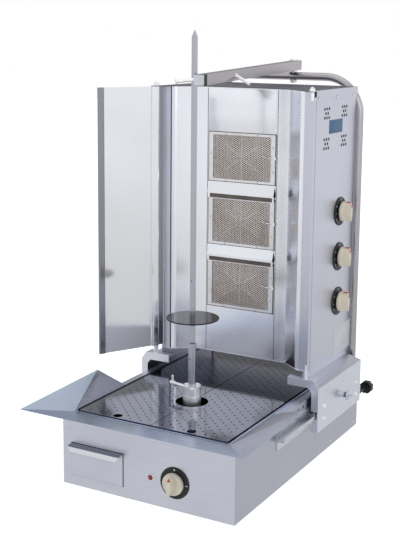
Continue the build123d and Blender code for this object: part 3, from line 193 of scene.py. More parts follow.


# Perforated cordierite burner tile: matt beige, pierced by flame holes 1.3 mm wide, drawn 2.6 mm apart and
# painted dark inside as their shade; scorched darker in patches 40 mm across.
def burnerCeramic(name):
    material, tree, place = newMaterial(name)
    grid = addNode(tree, "Mapping", {"Vector": place, "Scale": (385, 0, 385)}).outputs["Vector"]
    holes = addNode(tree, "TexVoronoi", {"Vector": grid, "Scale": 1.0, "Randomness": 0.0},
                    voronoi_dimensions="3D").outputs["Distance"]
    scorch = addNode(tree, "TexNoise", {"Vector": place, "Scale": 26.0, "Detail": 3.0}).outputs["Fac"]

    pit = addNode(tree, "MapRange", (holes, 0.26, 0.36, *fullSpan)).outputs["Result"]
    patch = addNode(tree, "MapRange", (scorch, *noiseSpan, *fullSpan)).outputs["Result"]
    body = addNode(tree, "Mix", {0: patch, 6: hexColour("#5d4d44"), 7: hexColour("#776458")},
                   data_type="RGBA")
    base = addNode(tree, "Mix", {0: pit, 6: hexColour("#3a2f2a"), 7: body.outputs[2]}, data_type="RGBA")
    bump = addNode(tree, "Bump", {"Height": pit, "Strength": 0.5, "Distance": 0.0008})
    shader = addNode(tree, "BsdfPrincipled", {
        "Base Color": base.outputs[2], "Roughness": 0.9, "Specular IOR Level": 0.2,
        "Normal": bump.outputs["Normal"]})
    addNode(tree, "OutputMaterial", (shader.outputs[0],))
    return material


# Moulded thermoset of knobs and dials: spark-eroded grain 0.3 mm across, drawn at 0.6 mm, and dull
# finger marks 22 mm across.
def mouldedPlastic(name, colour, roughness, coat=0.0):
    material, tree, place = newMaterial(name)
    grain = addNode(tree, "TexNoise", {"Vector": place, "Scale": 1600.0, "Detail": 2.0}).outputs["Fac"]
    wear = addNode(tree, "TexNoise", {"Vector": place, "Scale": 45.0, "Detail": 3.0}).outputs["Fac"]

    tone = addNode(tree, "MapRange", (wear, *noiseSpan, *fullSpan)).outputs["Result"]
    base = addNode(tree, "Mix", {0: tone, 6: dimmed(colour, 0.88), 7: colour}, data_type="RGBA")
    rough = addNode(tree, "MapRange", (wear, *noiseSpan, roughness - 0.05, roughness + 0.07))
    bump = addNode(tree, "Bump", {"Height": grain, "Strength": 0.12, "Distance": 0.0003})
    shader = addNode(tree, "BsdfPrincipled", {
        "Base Color": base.outputs[2], "IOR": 1.5, "Coat Weight": coat, "Coat Roughness": 0.12,
        "Roughness": rough.outputs["Result"], "Normal": bump.outputs["Normal"]})
    addNode(tree, "OutputMaterial", (shader.outputs[0],))
    return material


# Red acrylic of the lamp lens: deep and glossy, with fine moulded ribs inside.
def redAcrylic(name):
    material, tree, place = newMaterial(name)
    ribs = addNode(tree, "TexWave", {"Vector": place, "Scale": 420.0, "Distortion": 0.3},
                   bands_direction="X").outputs["Fac"]
    base = addNode(tree, "Mix", {0: ribs, 6: hexColour("#7d0614"), 7: hexColour("#b3101f")}, data_type="RGBA")
    bump = addNode(tree, "Bump", {"Height": ribs, "Strength": 0.2, "Distance": 0.0004})
    shader = addNode(tree, "BsdfPrincipled", {
        "Base Color": base.outputs[2], "IOR": 1.49, "Roughness": 0.08, "Coat Weight": 0.6,
        "Coat Roughness": 0.03, "Normal": bump.outputs["Normal"]})
    addNode(tree, "OutputMaterial", (shader.outputs[0],))
    return material


# Baked enamel over cast aluminium or sheet: slightly rough orange peel 1.5 mm across, with dusty clouds.
def bakedEnamel(name, colour):
    material, tree, place = newMaterial(name)
    peel = addNode(tree, "TexNoise", {"Vector": place, "Scale": 650.0, "Detail": 2.0}).outputs["Fac"]
    dust = addNode(tree, "TexNoise", {"Vector": place, "Scale": 30.0, "Detail": 4.0}).outputs["Fac"]

    dusty = addNode(tree, "MapRange", (dust, *noiseSpan, 0.0, 0.6)).outputs["Result"]
    base = addNode(tree, "Mix", {0: dusty, 6: colour, 7: hexColour("#5c5f63")}, data_type="RGBA")
    rough = addNode(tree, "MapRange", (dust, *noiseSpan, 0.35, 0.55))
    bump = addNode(tree, "Bump", {"Height": peel, "Strength": 0.2, "Distance": 0.0004})
    shader = addNode(tree, "BsdfPrincipled", {
        "Base Color": base.outputs[2], "IOR": 1.5, "Roughness": rough.outputs["Result"],
        "Normal": bump.outputs["Normal"]})
    addNode(tree, "OutputMaterial", (shader.outputs[0],))
    return material


finishes = {
    "cabinetX": satinStainless("satin stainless, grain across", hexColour("#dadde9"), "X", 0.33),
    "cabinetSide": satinStainless("satin stainless in half shade", hexColour("#c0c3cf"), "Y", 0.33),
    "cabinetY": satinStainless("satin stainless, grain along", hexColour("#e6e9f4"), "Y", 0.33),
    "cabinetZ": satinStainless("satin stainless, grain upright", hexColour("#d2d5e1"), "Z", 0.33),
    # the cover's steel, painted dark as the shade on its top
    "coverShadeSteel": satinStainless("satin stainless darkened by painted shade", hexColour("#6d6f7c"), "Y", 0.36),
    "armSteel": satinStainless("satin stainless tube", hexColour("#b9b5b9"), "Y", 0.3),
    "wallSteel": mirrorStainless("bright-annealed stainless", hexColour("#f0f2f9"), 0.17, 0.06, 0.4),
    "mirrorSteel": mirrorStainless("mirror-polished stainless", hexColour("#e8e9ee"), 0.05, 0.05, 0.5),
    "barSteel": mirrorStainless("drawn bright bar", hexColour("#b4b6c0"), 0.2, 0.06, 0.2),
    "deckSteel": mirrorStainless("polished perforated stainless", hexColour("#8d909d"), 0.07, 0.05, 0.6,
                                 darkFrom=-0.1),
    "flapSteel": mirrorStainless("polished folded stainless", hexColour("#b6c4dc"), 0.2, 0.08, 0.4),
    "flapBright": mirrorStainless("polished flap towards the light", hexColour("#deedff"), 0.3, 0.08, 0.4),
    "flapShade": mirrorStainless("polished flap in shade", hexColour("#a9abb9"), 0.18, 0.08, 0.4),
    "lipSteel": mirrorStainless("polished rolled lip in shade", hexColour("#93959d"), 0.12, 0.05, 0.4),
    "turnedSteel": turnedSteel("turned bright steel", hexColour("#fdfdfe"), 0.36),
    "discSteel": turnedSteel("spun polished steel", hexColour("#2c2d33"), 0.14, 8.0),
    "brass": turnedSteel("drawn brass", hexColour("#c39a4d"), 0.3, 300.0),
    "zinc": zincPlate("zinc-plated steel", hexColour("#eceff6")),
    "heatSteel": heatStainedSteel("heat-stained burner steel", hexColour("#eef0f8"), 0.34),
    "meshSteel": heatStainedSteel("heat-stained expanded mesh", hexColour("#efe8e6"), 0.5),
    # a dark copy of the burner steel: painted shade in holes, gaps, the tray well and under the hoods
    "shadeSteel": heatStainedSteel("burner steel darkened as painted shade", hexColour("#4c4c54"), 0.4),
    "ceramic": burnerCeramic("perforated cordierite tile"),
    "blackPlastic": mouldedPlastic("black moulded thermoset", hexColour("#17171a"), 0.42),
    "beigePlastic": mouldedPlastic("beige moulded thermoset", hexColour("#f6edda"), 0.34, 0.25),
    "whitePlastic": mouldedPlastic("white moulded nylon", hexColour("#e4e5ea"), 0.4),
    "markWhite": mouldedPlastic("white pad-printed mark", hexColour("#e9e9ec"), 0.5),
    "markRed": mouldedPlastic("red pad-printed mark", hexColour("#d33527"), 0.45),
    "blankPlate": mouldedPlastic("blank white-coated plate", hexColour("#e6e8ec"), 0.4),
    "redLens": redAcrylic("red acrylic lens"),
    "enamel": bakedEnamel("dark baked enamel", hexColour("#2b3036")),
    "bluePlate": bakedEnamel("blue enamelled blank plate", hexColour("#2f6f9c")),
}
print("materials made:", len(finishes))


def dress(finish, *names):
    for name in names:
        mesh = nodes[name].data
        mesh.materials.clear()
        mesh.materials.append(finishes[finish])


dress("cabinetX", "base_cabinet", "drawer_front", "drawer_box")
dress("cabinetZ", "side_panel_left", "side_panel_right", "back_panel")
dress("cabinetY", "bracket_left", "bracket_right", "housing_floor")
dress("coverShadeSteel", "top_cover")
dress("wallSteel", "burner_wall", "reflector_left", "reflector_right")
dress("mirrorSteel", "shield_left")
dress("deckSteel", "deck_plate_left", "deck_plate_right")
dress("flapSteel", "catch_tray")
dress("barSteel", "skewer", "skewer_sleeve")
dress("turnedSteel", "hub", "output_shaft", "clamp_screw", "hinge_pins",
      "arm_guide", "bracket_screws", "arm_bolt")
dress("discSteel", "meat_disc")
dress("zinc", "slide_rails", "slide_runners", "drawer_runners", "motor_cradle", "bottom_plate",
      "lock_collar", "lock_screw", "arm_washers", "leg_saddles")
dress("armSteel", "support_arm", "rear_frame")
dress("heatSteel", "burner_box_1", "burner_box_2", "burner_box_3")
dress("meshSteel", "guard_mesh")
dress("ceramic", "ceramic_tiles")
dress("blackPlastic", "switch_dial", "gas_dials", "star_knob", "rotary_switch", "switch_spindle")
dress("beigePlastic", "switch_knob", "gas_knob_1", "gas_knob_2", "gas_knob_3")
dress("whitePlastic", "arm_cap")
dress("redLens", "indicator_lamp")
dress("enamel", "gearbox", "drive_motor")
dress("brass", "gas_manifold", "tap_stem_1", "tap_stem_2", "tap_stem_3")


# faces that differ from the rest of their piece, picked by their place in metres, direction and area
def tint(piece, finish, chosen):
    mesh = piece.data
    mesh.materials.append(finishes[finish])
    slot = len(mesh.materials) - 1
    place = piece.matrix_world
    for polygon in mesh.polygons:
        if chosen(place @ polygon.center, polygon.normal, polygon.area):
            polygon.material_index = slot


shield = {
    "hinge": Vector((-0.216, 0.033, 0)),
    "run": Vector((cos(radians(241)), sin(radians(241)), 0)),
    "mirror": (-0.0085, 0.1495),        # from one rolled edge to the other, along the run
}
# flap faces that lean to +X are bright in planes further than this from the origin, else shaded
flapPlane = 0.11

# the rolled edges of the shield are rougher than its mirror face, and painted darker as shade on the roll
tint(nodes["shield_left"], "lipSteel", lambda centre, normal, area:
     not shield["mirror"][0] <= (centre - shield["hinge"]).dot(shield["run"]) <= shield["mirror"][1])
# the cabinet's long sides stand in half shade
tint(nodes["base_cabinet"], "cabinetSide", lambda centre, normal, area: abs(normal.x) > 0.8)
# the cover's top is painted darker than its turned-down sides, which are as pale as the panels below: a
# shaded and a lit copy of one steel, painted shade on top; its front edge is painted dark as shade at the
# join below it
tint(nodes["top_cover"], "cabinetZ", lambda centre, normal, area: abs(normal.x) > 0.8)
tint(nodes["top_cover"], "shadeSteel", lambda centre, normal, area: normal.y < -0.5)
# the drawer's folded lip: a brighter copy of the steel in front as painted highlight, and the darker lip
# steel on top as painted shade
tint(nodes["drawer_front"], "wallSteel", lambda centre, normal, area: centre.y < -0.38 and normal.y < -0.8)
tint(nodes["drawer_front"], "lipSteel", lambda centre, normal, area: centre.y < -0.367 and normal.z > 0.8)
# the flared flaps carry painted highlight and painted shade as they catch the sky or the room; the well below
# the deck is painted dark as the shade under the holes
tint(nodes["catch_tray"], "flapBright", lambda centre, normal, area:
     normal.z > 0.8 and normal.x > 0.2 and centre.dot(normal) > flapPlane)
tint(nodes["catch_tray"], "flapShade", lambda centre, normal, area:
     normal.z > 0.8 and (normal.x < -0.2 or normal.x > 0.2 and centre.dot(normal) < flapPlane))
tint(nodes["catch_tray"], "shadeSteel", lambda centre, normal, area: normal.z > 0.9 and centre.z < 0.16)
print("nodes dressed")


# tools for new pieces; their sizes and places are in millimetres

def at(x, y, z):
    return Vector((x * mm, y * mm, z * mm))


def addBlock(shape, centre, size, turn=None):
    stretch = Matrix.Diagonal([s * mm for s in size] + [1])
    matrix = Matrix.Translation(at(*centre)) @ (turn or Matrix.Identity(4)) @ stretch
    bmesh.ops.create_cube(shape, size=1.0, matrix=matrix)


def addRod(shape, start, end, radius, sides, endRadius=None):
    first, last = at(*start), at(*end)
    turn = (last - first).to_track_quat("Z", "Y").to_matrix().to_4x4()
    bmesh.ops.create_cone(
        shape, cap_ends=True, segments=sides, radius1=radius * mm,
        radius2=(radius if endRadius is None else endRadius) * mm, depth=(last - first).length,
        matrix=Matrix.Translation((first + last) / 2) @ turn)


# a half section of (radius, height) points is spun round Z
def spinSection(shape, section, steps, closed=False):
    line = [shape.verts.new(at(radius, 0, height)) for radius, height in section]
    edges = [shape.edges.new(pair) for pair in zip(line, line[1:] + (line[:1] if closed else []))]
    bmesh.ops.spin(shape, geom=line + edges, cent=(0, 0, 0), axis=(0, 0, 1), angle=2 * pi, steps=steps,
                   use_merge=True)


# new faces are pushed out of the given ones along Z, and their points given back
def raiseFaces(shape, faces, height, keep=False):
    raised = bmesh.ops.extrude_face_region(shape, geom=faces, use_keep_orig=keep)
    crest = [v for v in raised["geom"] if isinstance(v, bmesh.types.BMVert)]
    bmesh.ops.translate(shape, verts=crest, vec=at(0, 0, height))
    return crest


def softenEdges(shape, edges, width, segments=2):
    bmesh.ops.bevel(shape, geom=list(edges), offset=width * mm, offset_type="OFFSET", segments=segments,
                    profile=0.5, affect="EDGES", clamp_overlap=True, material=-1)


def sharpEdges(shape):
    leastAngle = 0.5
    return [e for e in shape.edges if len(e.link_faces) == 2 and e.calc_face_angle(0) > leastAngle]


# where the grill's faces look
front, right = (0, -1, 0), (1, 0, 0)


# a shape built flat in X and Y about the origin, raised along +Z, is stood up on a face of the grill
def standOn(shape, origin, out):
    outward, upward = Vector(out), Vector((0, 0, 1))
    turn = Matrix((upward.cross(outward), upward, outward)).transposed().to_4x4()
    bmesh.ops.transform(shape, matrix=Matrix.Translation(at(*origin)) @ turn, verts=shape.verts)


def joinPart(shape, part):
    kept = bpy.data.meshes.new("part")
    part.to_mesh(kept)
    part.free()
    shape.from_mesh(kept)
    bpy.data.meshes.remove(kept)


# smooth is the angle up to which faces shade into each other, and 0 for flat faces
def setPiece(name, shape, finish, body, replaced=None, smooth=35):
    bmesh.ops.remove_doubles(shape, verts=shape.verts, dist=1e-6)
    bmesh.ops.recalc_face_normals(shape, faces=shape.faces)
    mesh = bpy.data.meshes.new(name)
    shape.to_mesh(mesh)
    shape.free()
    for polygon in mesh.polygons:
        polygon.use_smooth = smooth > 0
    if smooth > 0:
        mesh.set_sharp_from_angle(angle=radians(smooth))
    mesh.materials.append(finishes[finish])
    piece = bpy.data.objects.new(name, mesh)
    bpy.context.collection.objects.link(piece)
    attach(piece, body)
    if replaced:
        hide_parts(replaced)
    return piece


def setSoftBlock(name, centre, size, bevel, finish, body):
    shape = bmesh.new()
    addBlock(shape, centre, size)
    softenEdges(shape, sharpEdges(shape), bevel)
    setPiece(name, shape, finish, body)


# perforated deck

# holeWidth is a diameter; hubHole and fingerHole are radii
deck = {
    "halfWidth": 198.0, "front": -338.0, "length": 600.0, "top": 178.0, "foot": 150.0, "sheet": 1.5,
    "seam": 2.0,            # between the two plates
    "holeWidth": 5.0, "holePitch": 28.0, "holeSides": 10,
    "margin": 20.0,         # from the edge to the first row of holes
    "hubHole": 40.0, "hubY": -151.0, "hubSides": 24, "hubMargin": 8.0,
    "fingerHole": 11.0, "fingerY": -325.0, "fingerSides": 32, "fingerMargin": 5.0,
}
deckBack = deck["front"] + deck["length"]
deckMiddle = deck["front"] + deck["length"] / 2


# outline of the right plate, with its half of the round hole for the hub
def deckOutline(inner):
    outer, reach = deck["halfWidth"], deck["hubHole"]
    half = (reach ** 2 - inner ** 2) ** 0.5
    start, stop = atan2(-half, inner), atan2(half, inner)
    bow = [start + (stop - start) * step / deck["hubSides"] for step in range(deck["hubSides"] + 1)]
    outline = [(outer, deck["front"]), (outer, deckBack), (inner, deckBack)]
    outline += [(reach * cos(a), deck["hubY"] + reach * sin(a)) for a in reversed(bow)]
    return outline + [(inner, deck["front"])]


# punched holes in two grids set half a pitch apart, clear of the hub and of the finger hole
def deckHoles(middleX, width, fingerX):
    pitch = deck["holePitch"]
    columns = int((width - 2 * deck["margin"]) / pitch) + 1
    rows = int((deck["length"] - 2 * deck["margin"]) / pitch) + 1
    for shift in (-pitch / 4, pitch / 4):
        for column in range(columns):
            for row in range(rows):
                x = middleX + shift + (column - (columns - 1) / 2) * pitch
                y = deckMiddle + shift + (row - (rows - 1) / 2) * pitch
                fromHub = Vector((x, y - deck["hubY"])).length
                fromFinger = Vector((x - fingerX, y - deck["fingerY"])).length
                clearOfHub = fromHub >= deck["hubHole"] + deck["hubMargin"]
                if clearOfHub and fromFinger >= deck["fingerHole"] + deck["fingerMargin"]:
                    yield x, y


def cutCircle(shape, x, y, radius, sides):
    bmesh.ops.create_circle(shape, cap_ends=False, segments=sides, radius=radius * mm,
                            matrix=Matrix.Translation(at(x, y, deck["top"])))


def deckPlate(side, name, node):
    sheet, outer, inner = deck["sheet"], deck["halfWidth"], deck["seam"] / 2
    width = outer - inner
    middleX, fingerX = side * (inner + width / 2), side * outer / 2
    shape = bmesh.new()
    corners = [shape.verts.new(at(side * x, y, deck["top"])) for x, y in deckOutline(inner)]
    for pair in zip(corners, corners[1:] + corners[:1]):
        shape.edges.new(pair)
    for x, y in deckHoles(middleX, width, fingerX):
        cutCircle(shape, x, y, deck["holeWidth"] / 2, deck["holeSides"])
    cutCircle(shape, fingerX, deck["fingerY"], deck["fingerHole"], deck["fingerSides"])
    bmesh.ops.triangle_fill(shape, use_beauty=True, use_dissolve=False, edges=shape.edges[:])
    raiseFaces(shape, shape.faces[:], -sheet, keep=True)

    # turned-down edges that stand on the tray floor
    depth = deck["top"] - sheet - deck["foot"]
    middleZ = deck["foot"] + depth / 2
    addBlock(shape, (side * (outer - sheet / 2), deckMiddle, middleZ), (sheet, deck["length"], depth))
    for y in (deck["front"] + sheet / 2, deckBack - sheet / 2):
        addBlock(shape, (middleX, y, middleZ), (width, sheet, depth))
    hubFront, hubBack = deck["hubY"] - deck["hubHole"], deck["hubY"] + deck["hubHole"]
    for first, last in ((deck["front"], hubFront), (hubBack, deckBack)):
        middle = (side * (inner + sheet / 2), (first + last) / 2, middleZ)
        addBlock(shape, middle, (sheet, last - first, depth))
    plate = setPiece(name, shape, "deckSteel", "cabinet", replaced=node, smooth=30)
    # the walls of the holes, which are the plate's small upright faces, are painted dark as the shade inside
    # them
    tint(plate, "shadeSteel", lambda centre, normal, area: abs(normal.z) < 0.5 and area < 9e-6)


deckPlate(-1, "deckPlateLeft", "deck_plate_left")
deckPlate(1, "deckPlateRight", "deck_plate_right")

# black strip in the gap between the deck and the left flap, a painted shadow of the gap
gapShadow = {"centre": (-203.6, deckMiddle, 177.4), "size": (5.0, deck["length"] - 4, 3.2), "bevel": 1.0}
setSoftBlock("deckGapShadow", gapShadow["centre"], gapShadow["size"], gapShadow["bevel"],
             "blackPlastic", "cabinet")
print("deck punched")


# burner fronts

burner = {
    "heights": (747.5, 582.2, 416.9),       # middles of the three windows
    "wallY": 95.0, "halfWidth": 82.0, "halfHeight": 56.5,
}
strand = {
    "slope": 31.0, "pitch": 4.4, "width": 1.35, "thickness": 0.7,
    "reach": 120.0,         # half its length before the window's edges trim it
    "rim": 0.8,             # how far the mesh lies behind the wall at the window's edges
    "crown": 4.0,           # how far its middle stands out from there
    "creaseRadius": 0.45, "creaseSides": 8, "creaseFoot": 0.6, "creaseTop": 0.2,
}


def meshStrand(slope, offset, height):
    halfWidth, halfHeight = burner["halfWidth"], burner["halfHeight"]
    part = bmesh.new()
    tilt = Matrix.Rotation(radians(-slope), 4, "Y")
    addBlock(part, (0, 0, 0), (2 * strand["reach"], strand["thickness"], strand["width"]), tilt)
    aside = Vector((-sin(radians(slope)), 0, cos(radians(slope))))
    bmesh.ops.translate(part, verts=part.verts, vec=aside * offset * mm)
    for normal, place in (((1, 0, 0), halfWidth), ((-1, 0, 0), halfWidth),
                          ((0, 0, 1), halfHeight), ((0, 0, -1), halfHeight)):
        bmesh.ops.bisect_plane(part, geom=part.verts[:] + part.edges[:] + part.faces[:],
                               plane_co=Vector(normal) * place * mm, plane_no=normal, clear_outer=True)
    # creased where the strand crosses the two diagonals
    for lean in (1, -1):
        crease = Vector((halfHeight, 0, lean * halfWidth)).normalized()
        bmesh.ops.bisect_plane(part, geom=part.verts[:] + part.edges[:] + part.faces[:],
                               plane_co=(0, 0, 0), plane_no=crease)
    lift = 0.0 if slope > 0 else -strand["thickness"]
    for vert in part.verts:
        inset = max(abs(vert.co.x) / (halfWidth * mm), abs(vert.co.z) / (halfHeight * mm))
        vert.co.y += (burner["wallY"] + strand["rim"] + lift - strand["crown"] * (1 - min(inset, 1))) * mm
        vert.co.z += height * mm
    return part


# expanded diamond mesh, pressed to a shallow pyramid with creases along the diagonals of the window
def guardMesh():
    shape = bmesh.new()
    count = int(2 * strand["reach"] / strand["pitch"])
    for height in burner["heights"]:
        for slope in (strand["slope"], -strand["slope"]):
            for index in range(count):
                joinPart(shape, meshStrand(slope, (index - count / 2) * strand["pitch"], height))
    # the pressed creases and the seam between the two tiles show as raised lines
    foot = burner["wallY"] + strand["creaseFoot"]
    top = burner["wallY"] + strand["creaseTop"] - strand["crown"]
    for height in burner["heights"]:
        for x, z in ((1, 1), (1, -1), (-1, 1), (-1, -1), (0, 1), (0, -1)):
            corner = (x * burner["halfWidth"], foot, height + z * burner["halfHeight"])
            addRod(shape, corner, (0, top, height), strand["creaseRadius"], strand["creaseSides"])
    setPiece("guardMesh", shape, "meshSteel", "carriage", replaced="guard_mesh", smooth=0)


guardMesh()


# shares of a screw head's radius, but for its sides and the depth of its cross
head = {"sides": 16, "crown": 0.8, "softness": 0.15, "crossReach": 1.1, "crossWidth": 0.25, "crossDepth": 0.3}


# a pan head, with a thin cross on it that stands for its recess
def panScrew(shape, place, out, radius, height, crossTurn):
    part = bmesh.new()
    addRod(part, (0, 0, 0), (0, 0, height), radius, head["sides"], radius * head["crown"])
    brim = [e for e in sharpEdges(part) if min(v.co.z for v in e.verts) > height / 2 * mm]
    softenEdges(part, brim, radius * head["softness"])
    reach, width, depth = radius * head["crossReach"], radius * head["crossWidth"], head["crossDepth"]
    for size in ((reach, width, depth), (width, reach, depth)):
        addBlock(part, (0, 0, height), size, Matrix.Rotation(crossTurn, 4, "Z"))
    standOn(part, place, out)
    joinPart(shape, part)


# places are across the wall, back from its face, and up from a window's middle or from the height given
trim = {
    "screws": ((-45, 59.5), (45, 59.5), (-45, -59.5), (45, -59.5), (-88, 8), (88, 30), (88, -30)),
    "screwFoot": -2.0, "headRadius": 2.6, "headHeight": 1.4,
    "probeBlock": ((92, -3, 4), (10, 3, 7)),
    "probe": ((92, -4, 4), (76, -7, 5), (58, -9, 9)),
    "probeRods": ((1.5, 12), (0.9, 10)),        # radius and sides
    "blank": (-2, -0.5, 0), "blankHeight": 867, "blankSize": (190, 0.9, 110), "blankBevel": 0.3,
    "skirt": ((0, -5.1, 64.5), (178, 0.6, 11.2)),
    "upright": ((95.0, -0.2, 0), (3.2, 0.5, 129.6)), "level": ((0, -0.2, 63.4), (193.2, 0.5, 2.8)),
    "lap": ((98.8, -0.1, 0), (1.4, 0.3, 686)), "lapHeight": 577,
}


def onWall(height, x, y, z):
    return x, burner["wallY"] + y, height + z


def burnerScrews():
    shape = bmesh.new()
    for height in burner["heights"]:
        for x, z in trim["screws"]:
            # each cross stands at an angle of its own, as the screws were left
            panScrew(shape, onWall(height, x, trim["screwFoot"], z), front,
                     trim["headRadius"], trim["headHeight"], x)
    setPiece("burnerScrews", shape, "zinc", "carriage")


# a block on the frame's side, and a probe that bends in front of the mesh and gets thinner
def probeTips():
    shape = bmesh.new()
    place, size = trim["probeBlock"]
    for height in burner["heights"]:
        addBlock(shape, onWall(height, *place), size)
        points = [onWall(height, *point) for point in trim["probe"]]
        for start, end, (radius, sides) in zip(points, points[1:], trim["probeRods"]):
            addRod(shape, start, end, radius, sides)
    setPiece("probeTips", shape, "turnedSteel", "carriage")


# dark sheet on the face of the skirt under each hood, a painted shade under the hood
def hoodShadowStrips():
    shape = bmesh.new()
    place, size = trim["skirt"]
    for height in burner["heights"][1:]:
        addBlock(shape, onWall(height, *place), size)
    setPiece("hoodShadowStrips", shape, "shadeSteel", "carriage", smooth=0)


# dark strips in the joints round each window frame and where the reflectors lap the burner wall, painted
# shade in the gaps
def wallJointShadows():
    shape = bmesh.new()
    heightsOf = {"upright": burner["heights"], "level": burner["heights"], "lap": (trim["lapHeight"],)}
    for part, heights in heightsOf.items():
        (x, y, z), size = trim[part]
        for height in heights:
            for side in (-1, 1):
                addBlock(shape, onWall(height, side * x, y, side * z), size)
    setPiece("wallJointShadows", shape, "shadeSteel", "carriage", smooth=0)


burnerScrews()
probeTips()
# the blank sheet above the top window
setSoftBlock("topBlank", onWall(trim["blankHeight"], *trim["blank"]), trim["blankSize"], trim["blankBevel"],
             "wallSteel", "carriage")
hoodShadowStrips()
wallJointShadows()
print("burner fronts made")


# knobs, dials and lamp

knob = {
    "section": [(0, 0.3), (24.0, 0.3), (25.4, 1.0), (26.0, 3.5), (25.2, 9.6), (23.8, 11.0), (22.0, 10.9),
                (12.0, 8.8), (0, 8.6)],     # of the skirted disc, from its middle underneath to its dish
    "steps": 48,
    "barWidth": 13.0, "barReach": 25.5, "barFoot": 7.0, "barTop": 26.0, "barSides": 36, "barBevel": 2.4,
    "waist": 0.18,          # how much the bar narrows in the middle
    "taper": (0.78, 0.95, 1),
    "pointer": ((-4.6, 13.0), (4.6, 13.0), (0, 23.0)), "pointerDepth": 0.6, "pointerProud": 0.15,
    "rimMark": ((0, 24.9, 16.5), (5.0, 1.6, 12.0)),     # red bar on the end of a gas knob's grip
}


# a long oval finger bar that rises from the dish, waisted at its sides
def fingerBar():
    bar = bmesh.new()
    ring = []
    for step in range(knob["barSides"]):
        angle = 2 * pi * step / knob["barSides"]
        bend = knob["barWidth"] / 2 * (1 + knob["waist"] * cos(2 * angle))
        ring.append(bar.verts.new(at(bend * cos(angle), knob["barReach"] * sin(angle), knob["barFoot"])))
    crest = raiseFaces(bar, [bar.faces.new(ring)], knob["barTop"] - knob["barFoot"])
    bmesh.ops.scale(bar, verts=crest, vec=knob["taper"])
    softenEdges(bar, [e for e in bar.edges if all(v in crest for v in e.verts)], knob["barBevel"], 4)
    return bar


def controlKnob(name, node, body, origin, out, turn):
    turned = Matrix.Rotation(radians(turn), 3, "Z")
    shape = bmesh.new()
    spinSection(shape, knob["section"], knob["steps"])
    bmesh.ops.remove_doubles(shape, verts=shape.verts, dist=1e-6)
    joinPart(shape, fingerBar())
    bmesh.ops.rotate(shape, verts=shape.verts, cent=(0, 0, 0), matrix=turned)
    standOn(shape, origin, out)
    setPiece(name, shape, "beigePlastic", body, replaced=node, smooth=40)

    # red pointer on the end of the bar
    mark = bmesh.new()
    top = knob["barTop"] + knob["pointerProud"]
    face = mark.faces.new([mark.verts.new(at(x, y, top)) for x, y in knob["pointer"]])
    raiseFaces(mark, [face], -knob["pointerDepth"])
    if out == right:
        addBlock(mark, *knob["rimMark"])
    bmesh.ops.rotate(mark, verts=mark.verts, cent=(0, 0, 0), matrix=turned)
    standOn(mark, origin, out)
    setPiece(name + "Pointer", mark, "markRed", body, smooth=0)


# thin dark frame round the edges of the drawer front, painted shade in the gap round it
drawerShadow = {
    "y": -363.3, "thickness": 0.4,
    "uprights": (-203.6, -60.4), "uprightZ": 65.5, "uprightSize": (3.2, 81.0),
    "levels": (26.2, 104.6), "levelX": -132, "levelSize": (146.4, 2.8),
}


def drawerShadowFrame():
    shape = bmesh.new()
    y, thickness = drawerShadow["y"], drawerShadow["thickness"]
    for x in drawerShadow["uprights"]:
        width, length = drawerShadow["uprightSize"]
        addBlock(shape, (x, y, drawerShadow["uprightZ"]), (width, thickness, length))
    for z in drawerShadow["levels"]:
        length, width = drawerShadow["levelSize"]
        addBlock(shape, (drawerShadow["levelX"], y, z), (length, thickness, width))
    setPiece("drawerShadowFrame", shape, "blackPlastic", "drawer", smooth=0)


# round each dial a dot, then bars and small dots by turns
marks = {
    "ring": 31.5, "foot": -0.2, "top": 0.25, "dot": (2.1, 20), "smallDot": (1.47, 16),      # radius and sides
    "barMiddle": 0.05, "barSize": (1.8, 6.0, 0.4),
}


def dialMarks(name, body, origins, out, angles):
    shape = bmesh.new()
    for origin in origins:
        for index, angle in enumerate(angles):
            part = bmesh.new()
            x, y = marks["ring"] * sin(radians(angle)), marks["ring"] * cos(radians(angle))
            if index % 2:
                turn = Matrix.Rotation(-radians(angle), 4, "Z")
                addBlock(part, (x, y, marks["barMiddle"]), marks["barSize"], turn)
            else:
                radius, sides = marks["smallDot"] if index else marks["dot"]
                addRod(part, (x, y, marks["foot"]), (x, y, marks["top"]), radius, sides)
            standOn(part, origin, out)
            joinPart(shape, part)
    setPiece(name, shape, "markWhite", body, smooth=0)


switch = {"x": 78.5, "z": 65.5, "knobY": -367, "dialY": -366, "turn": -6}
gasKnobs = {"heights": (610.0, 491.5, 373.0), "y": 237, "knobX": 219.3, "dialX": 215.3}

drawerShadowFrame()
controlKnob("switchKnob", "switch_knob", "switch", (switch["x"], switch["knobY"], switch["z"]),
            front, switch["turn"])
dialMarks("switchMarks", "cabinet", [(switch["x"], switch["dialY"], switch["z"])], front, (0, 90))
for number, height in enumerate(gasKnobs["heights"], 1):
    controlKnob(f"gasKnob{number}", f"gas_knob_{number}", f"knob_{number}",
                (gasKnobs["knobX"], gasKnobs["y"], height), right, 0)
dialMarks("gasMarks", "carriage", [(gasKnobs["dialX"], gasKnobs["y"], z) for z in gasKnobs["heights"]],
          right, (0, 300, 265, 235))

lamp = {
    "place": (15, -363, 65.5), "steps": 40,
    "ring": [(6.1, -0.2), (8.5, -0.2), (8.5, 1.2), (7.7, 2.2), (6.6, 2.4), (6.1, 1.8)],
    "lens": [(0, -24), (5.9, -24), (5.9, 1.5), (5.2, 3.2), (3.2, 4.3), (0, 4.7)],
}


def signalLamp():
    ring = bmesh.new()
    spinSection(ring, lamp["ring"], lamp["steps"], closed=True)
    standOn(ring, lamp["place"], front)
    setPiece("lampRing", ring, "turnedSteel", "cabinet")
    lens = bmesh.new()
    spinSection(lens, lamp["lens"], lamp["steps"])
    standOn(lens, lamp["place"], front)
    setPiece("lampLens", lens, "redLens", "cabinet", replaced="indicator_lamp")


signalLamp()

